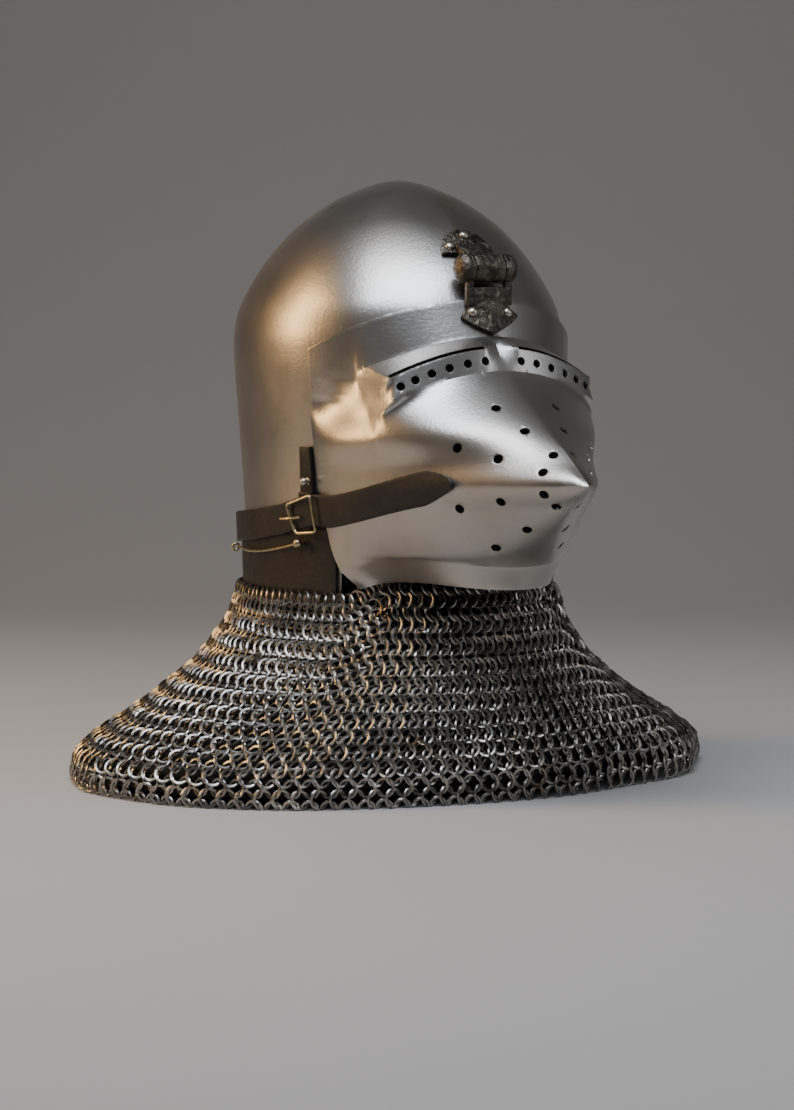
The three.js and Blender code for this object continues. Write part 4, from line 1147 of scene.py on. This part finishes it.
# A thin sheet of painted shade just behind the rings, so that the gaps between them read as shadow.
shade_sheet = sheet_over("painted_shade_sheet", 180, 30, shade_sheet_place, SHADE_SHEET["thick"])
bm = bmesh.new()
bm.from_mesh(shade_sheet.data)
bmesh.ops.remove_doubles(bm, verts=bm.verts, dist=0.001)
bm.to_mesh(shade_sheet.data)
bm.free()
settle(shade_sheet, "helmet", mail_in_shadow(), "mail_steel", "aventail", crease=60)


# Stage: a pale floor that sweeps up behind, a wide softbox overhead, a warm one at the wearer's right
# and a weak fill, seen from the photograph's place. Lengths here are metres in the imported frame, and
# the focal length and the picture's height are in the photograph's pixels.
CAMERA = {"azimuth": -27, "distance": 1.9, "height": -0.085, "focal_px": 2831, "picture_px": 1110}
SENSOR = 36
LOOK_AT = Vector((0, 0, -0.222))
FLOOR, FLOOR_HALF, BEND = cad_box[0][2], 4, 1.2


# Matt emulsion on the studio's sweep: an even pale grey with hardly any sheen.
def pale_paint():
    material, tree, shader, place = new_material("pale_matt_paint", Roughness=0.9)
    paint(tree, shader, tint(tree, spots(tree, place, 600, 2), "#B9B7B3", "#C0BEBA"))
    return material


bm = bmesh.new()
bmesh.ops.create_grid(bm, x_segments=2, y_segments=60, size=FLOOR_HALF)
for vert in bm.verts:
    far = vert.co.y - BEND
    if far > 0:
        angle = min(far / BEND, math.pi / 2)
        vert.co.y = BEND + BEND * math.sin(angle)
        vert.co.z = BEND - BEND * math.cos(angle) + max(0, far - BEND * math.pi / 2)
turn = Matrix.Rotation(math.radians(CAMERA["azimuth"]), 4, "Z")
bmesh.ops.transform(bm, matrix=Matrix.Translation((0, 0, FLOOR)) @ turn, verts=bm.verts)
floor = object_from(bm, "floor_sweep")
floor.data.shade_smooth()
floor.data.materials.append(pale_paint())


def around(azimuth, elevation, distance):
    """A place round the object, by its azimuth from the face and its elevation."""
    a, e = math.radians(azimuth), math.radians(elevation)
    return Vector((math.sin(a) * math.cos(e), -math.cos(a) * math.cos(e), math.sin(e))) * distance


def aimed(name, data, place):
    """A lamp or camera at a place, turned to the object."""
    thing = add_object(name, data)
    thing.location = place
    thing.rotation_euler = (LOOK_AT - thing.location).to_track_quat("-Z", "Y").to_euler()
    return thing


def softbox(name, azimuth, elevation, distance, size, power, colour):
    """A soft light, by its azimuth from the camera's."""
    light = bpy.data.lights.new(name, "AREA")
    light.shape, light.size, light.size_y = "RECTANGLE", size[0], size[1]
    light.energy = power
    light.color = linear(colour)[:3]
    aimed(name, light, LOOK_AT + around(CAMERA["azimuth"] + azimuth, elevation, distance))


softbox("overhead", -16, 62, 1.5, (1.1, 0.8), 21, "#E9F1FF")
softbox("warm_side", -88, 26, 1.4, (0.4, 0.9), 10, "#FFCE8E")
softbox("fill", 66, 24, 2.2, (0.7, 1.2), 6, "#EEF3FF")
world = bpy.data.worlds.new("studio")
world.use_nodes = True
world.node_tree.nodes["Background"].inputs["Color"].default_value = linear("#8A8A88")
world.node_tree.nodes["Background"].inputs["Strength"].default_value = 0.28
bpy.context.scene.world = world

lens = bpy.data.cameras.new("camera")
lens.sensor_fit = "VERTICAL"
lens.sensor_height = SENSOR
lens.lens = SENSOR * CAMERA["focal_px"] / CAMERA["picture_px"]
eye_point = around(CAMERA["azimuth"], 0, CAMERA["distance"]) + Vector((0, 0, CAMERA["height"]))
bpy.context.scene.camera = aimed("camera", lens, eye_point)
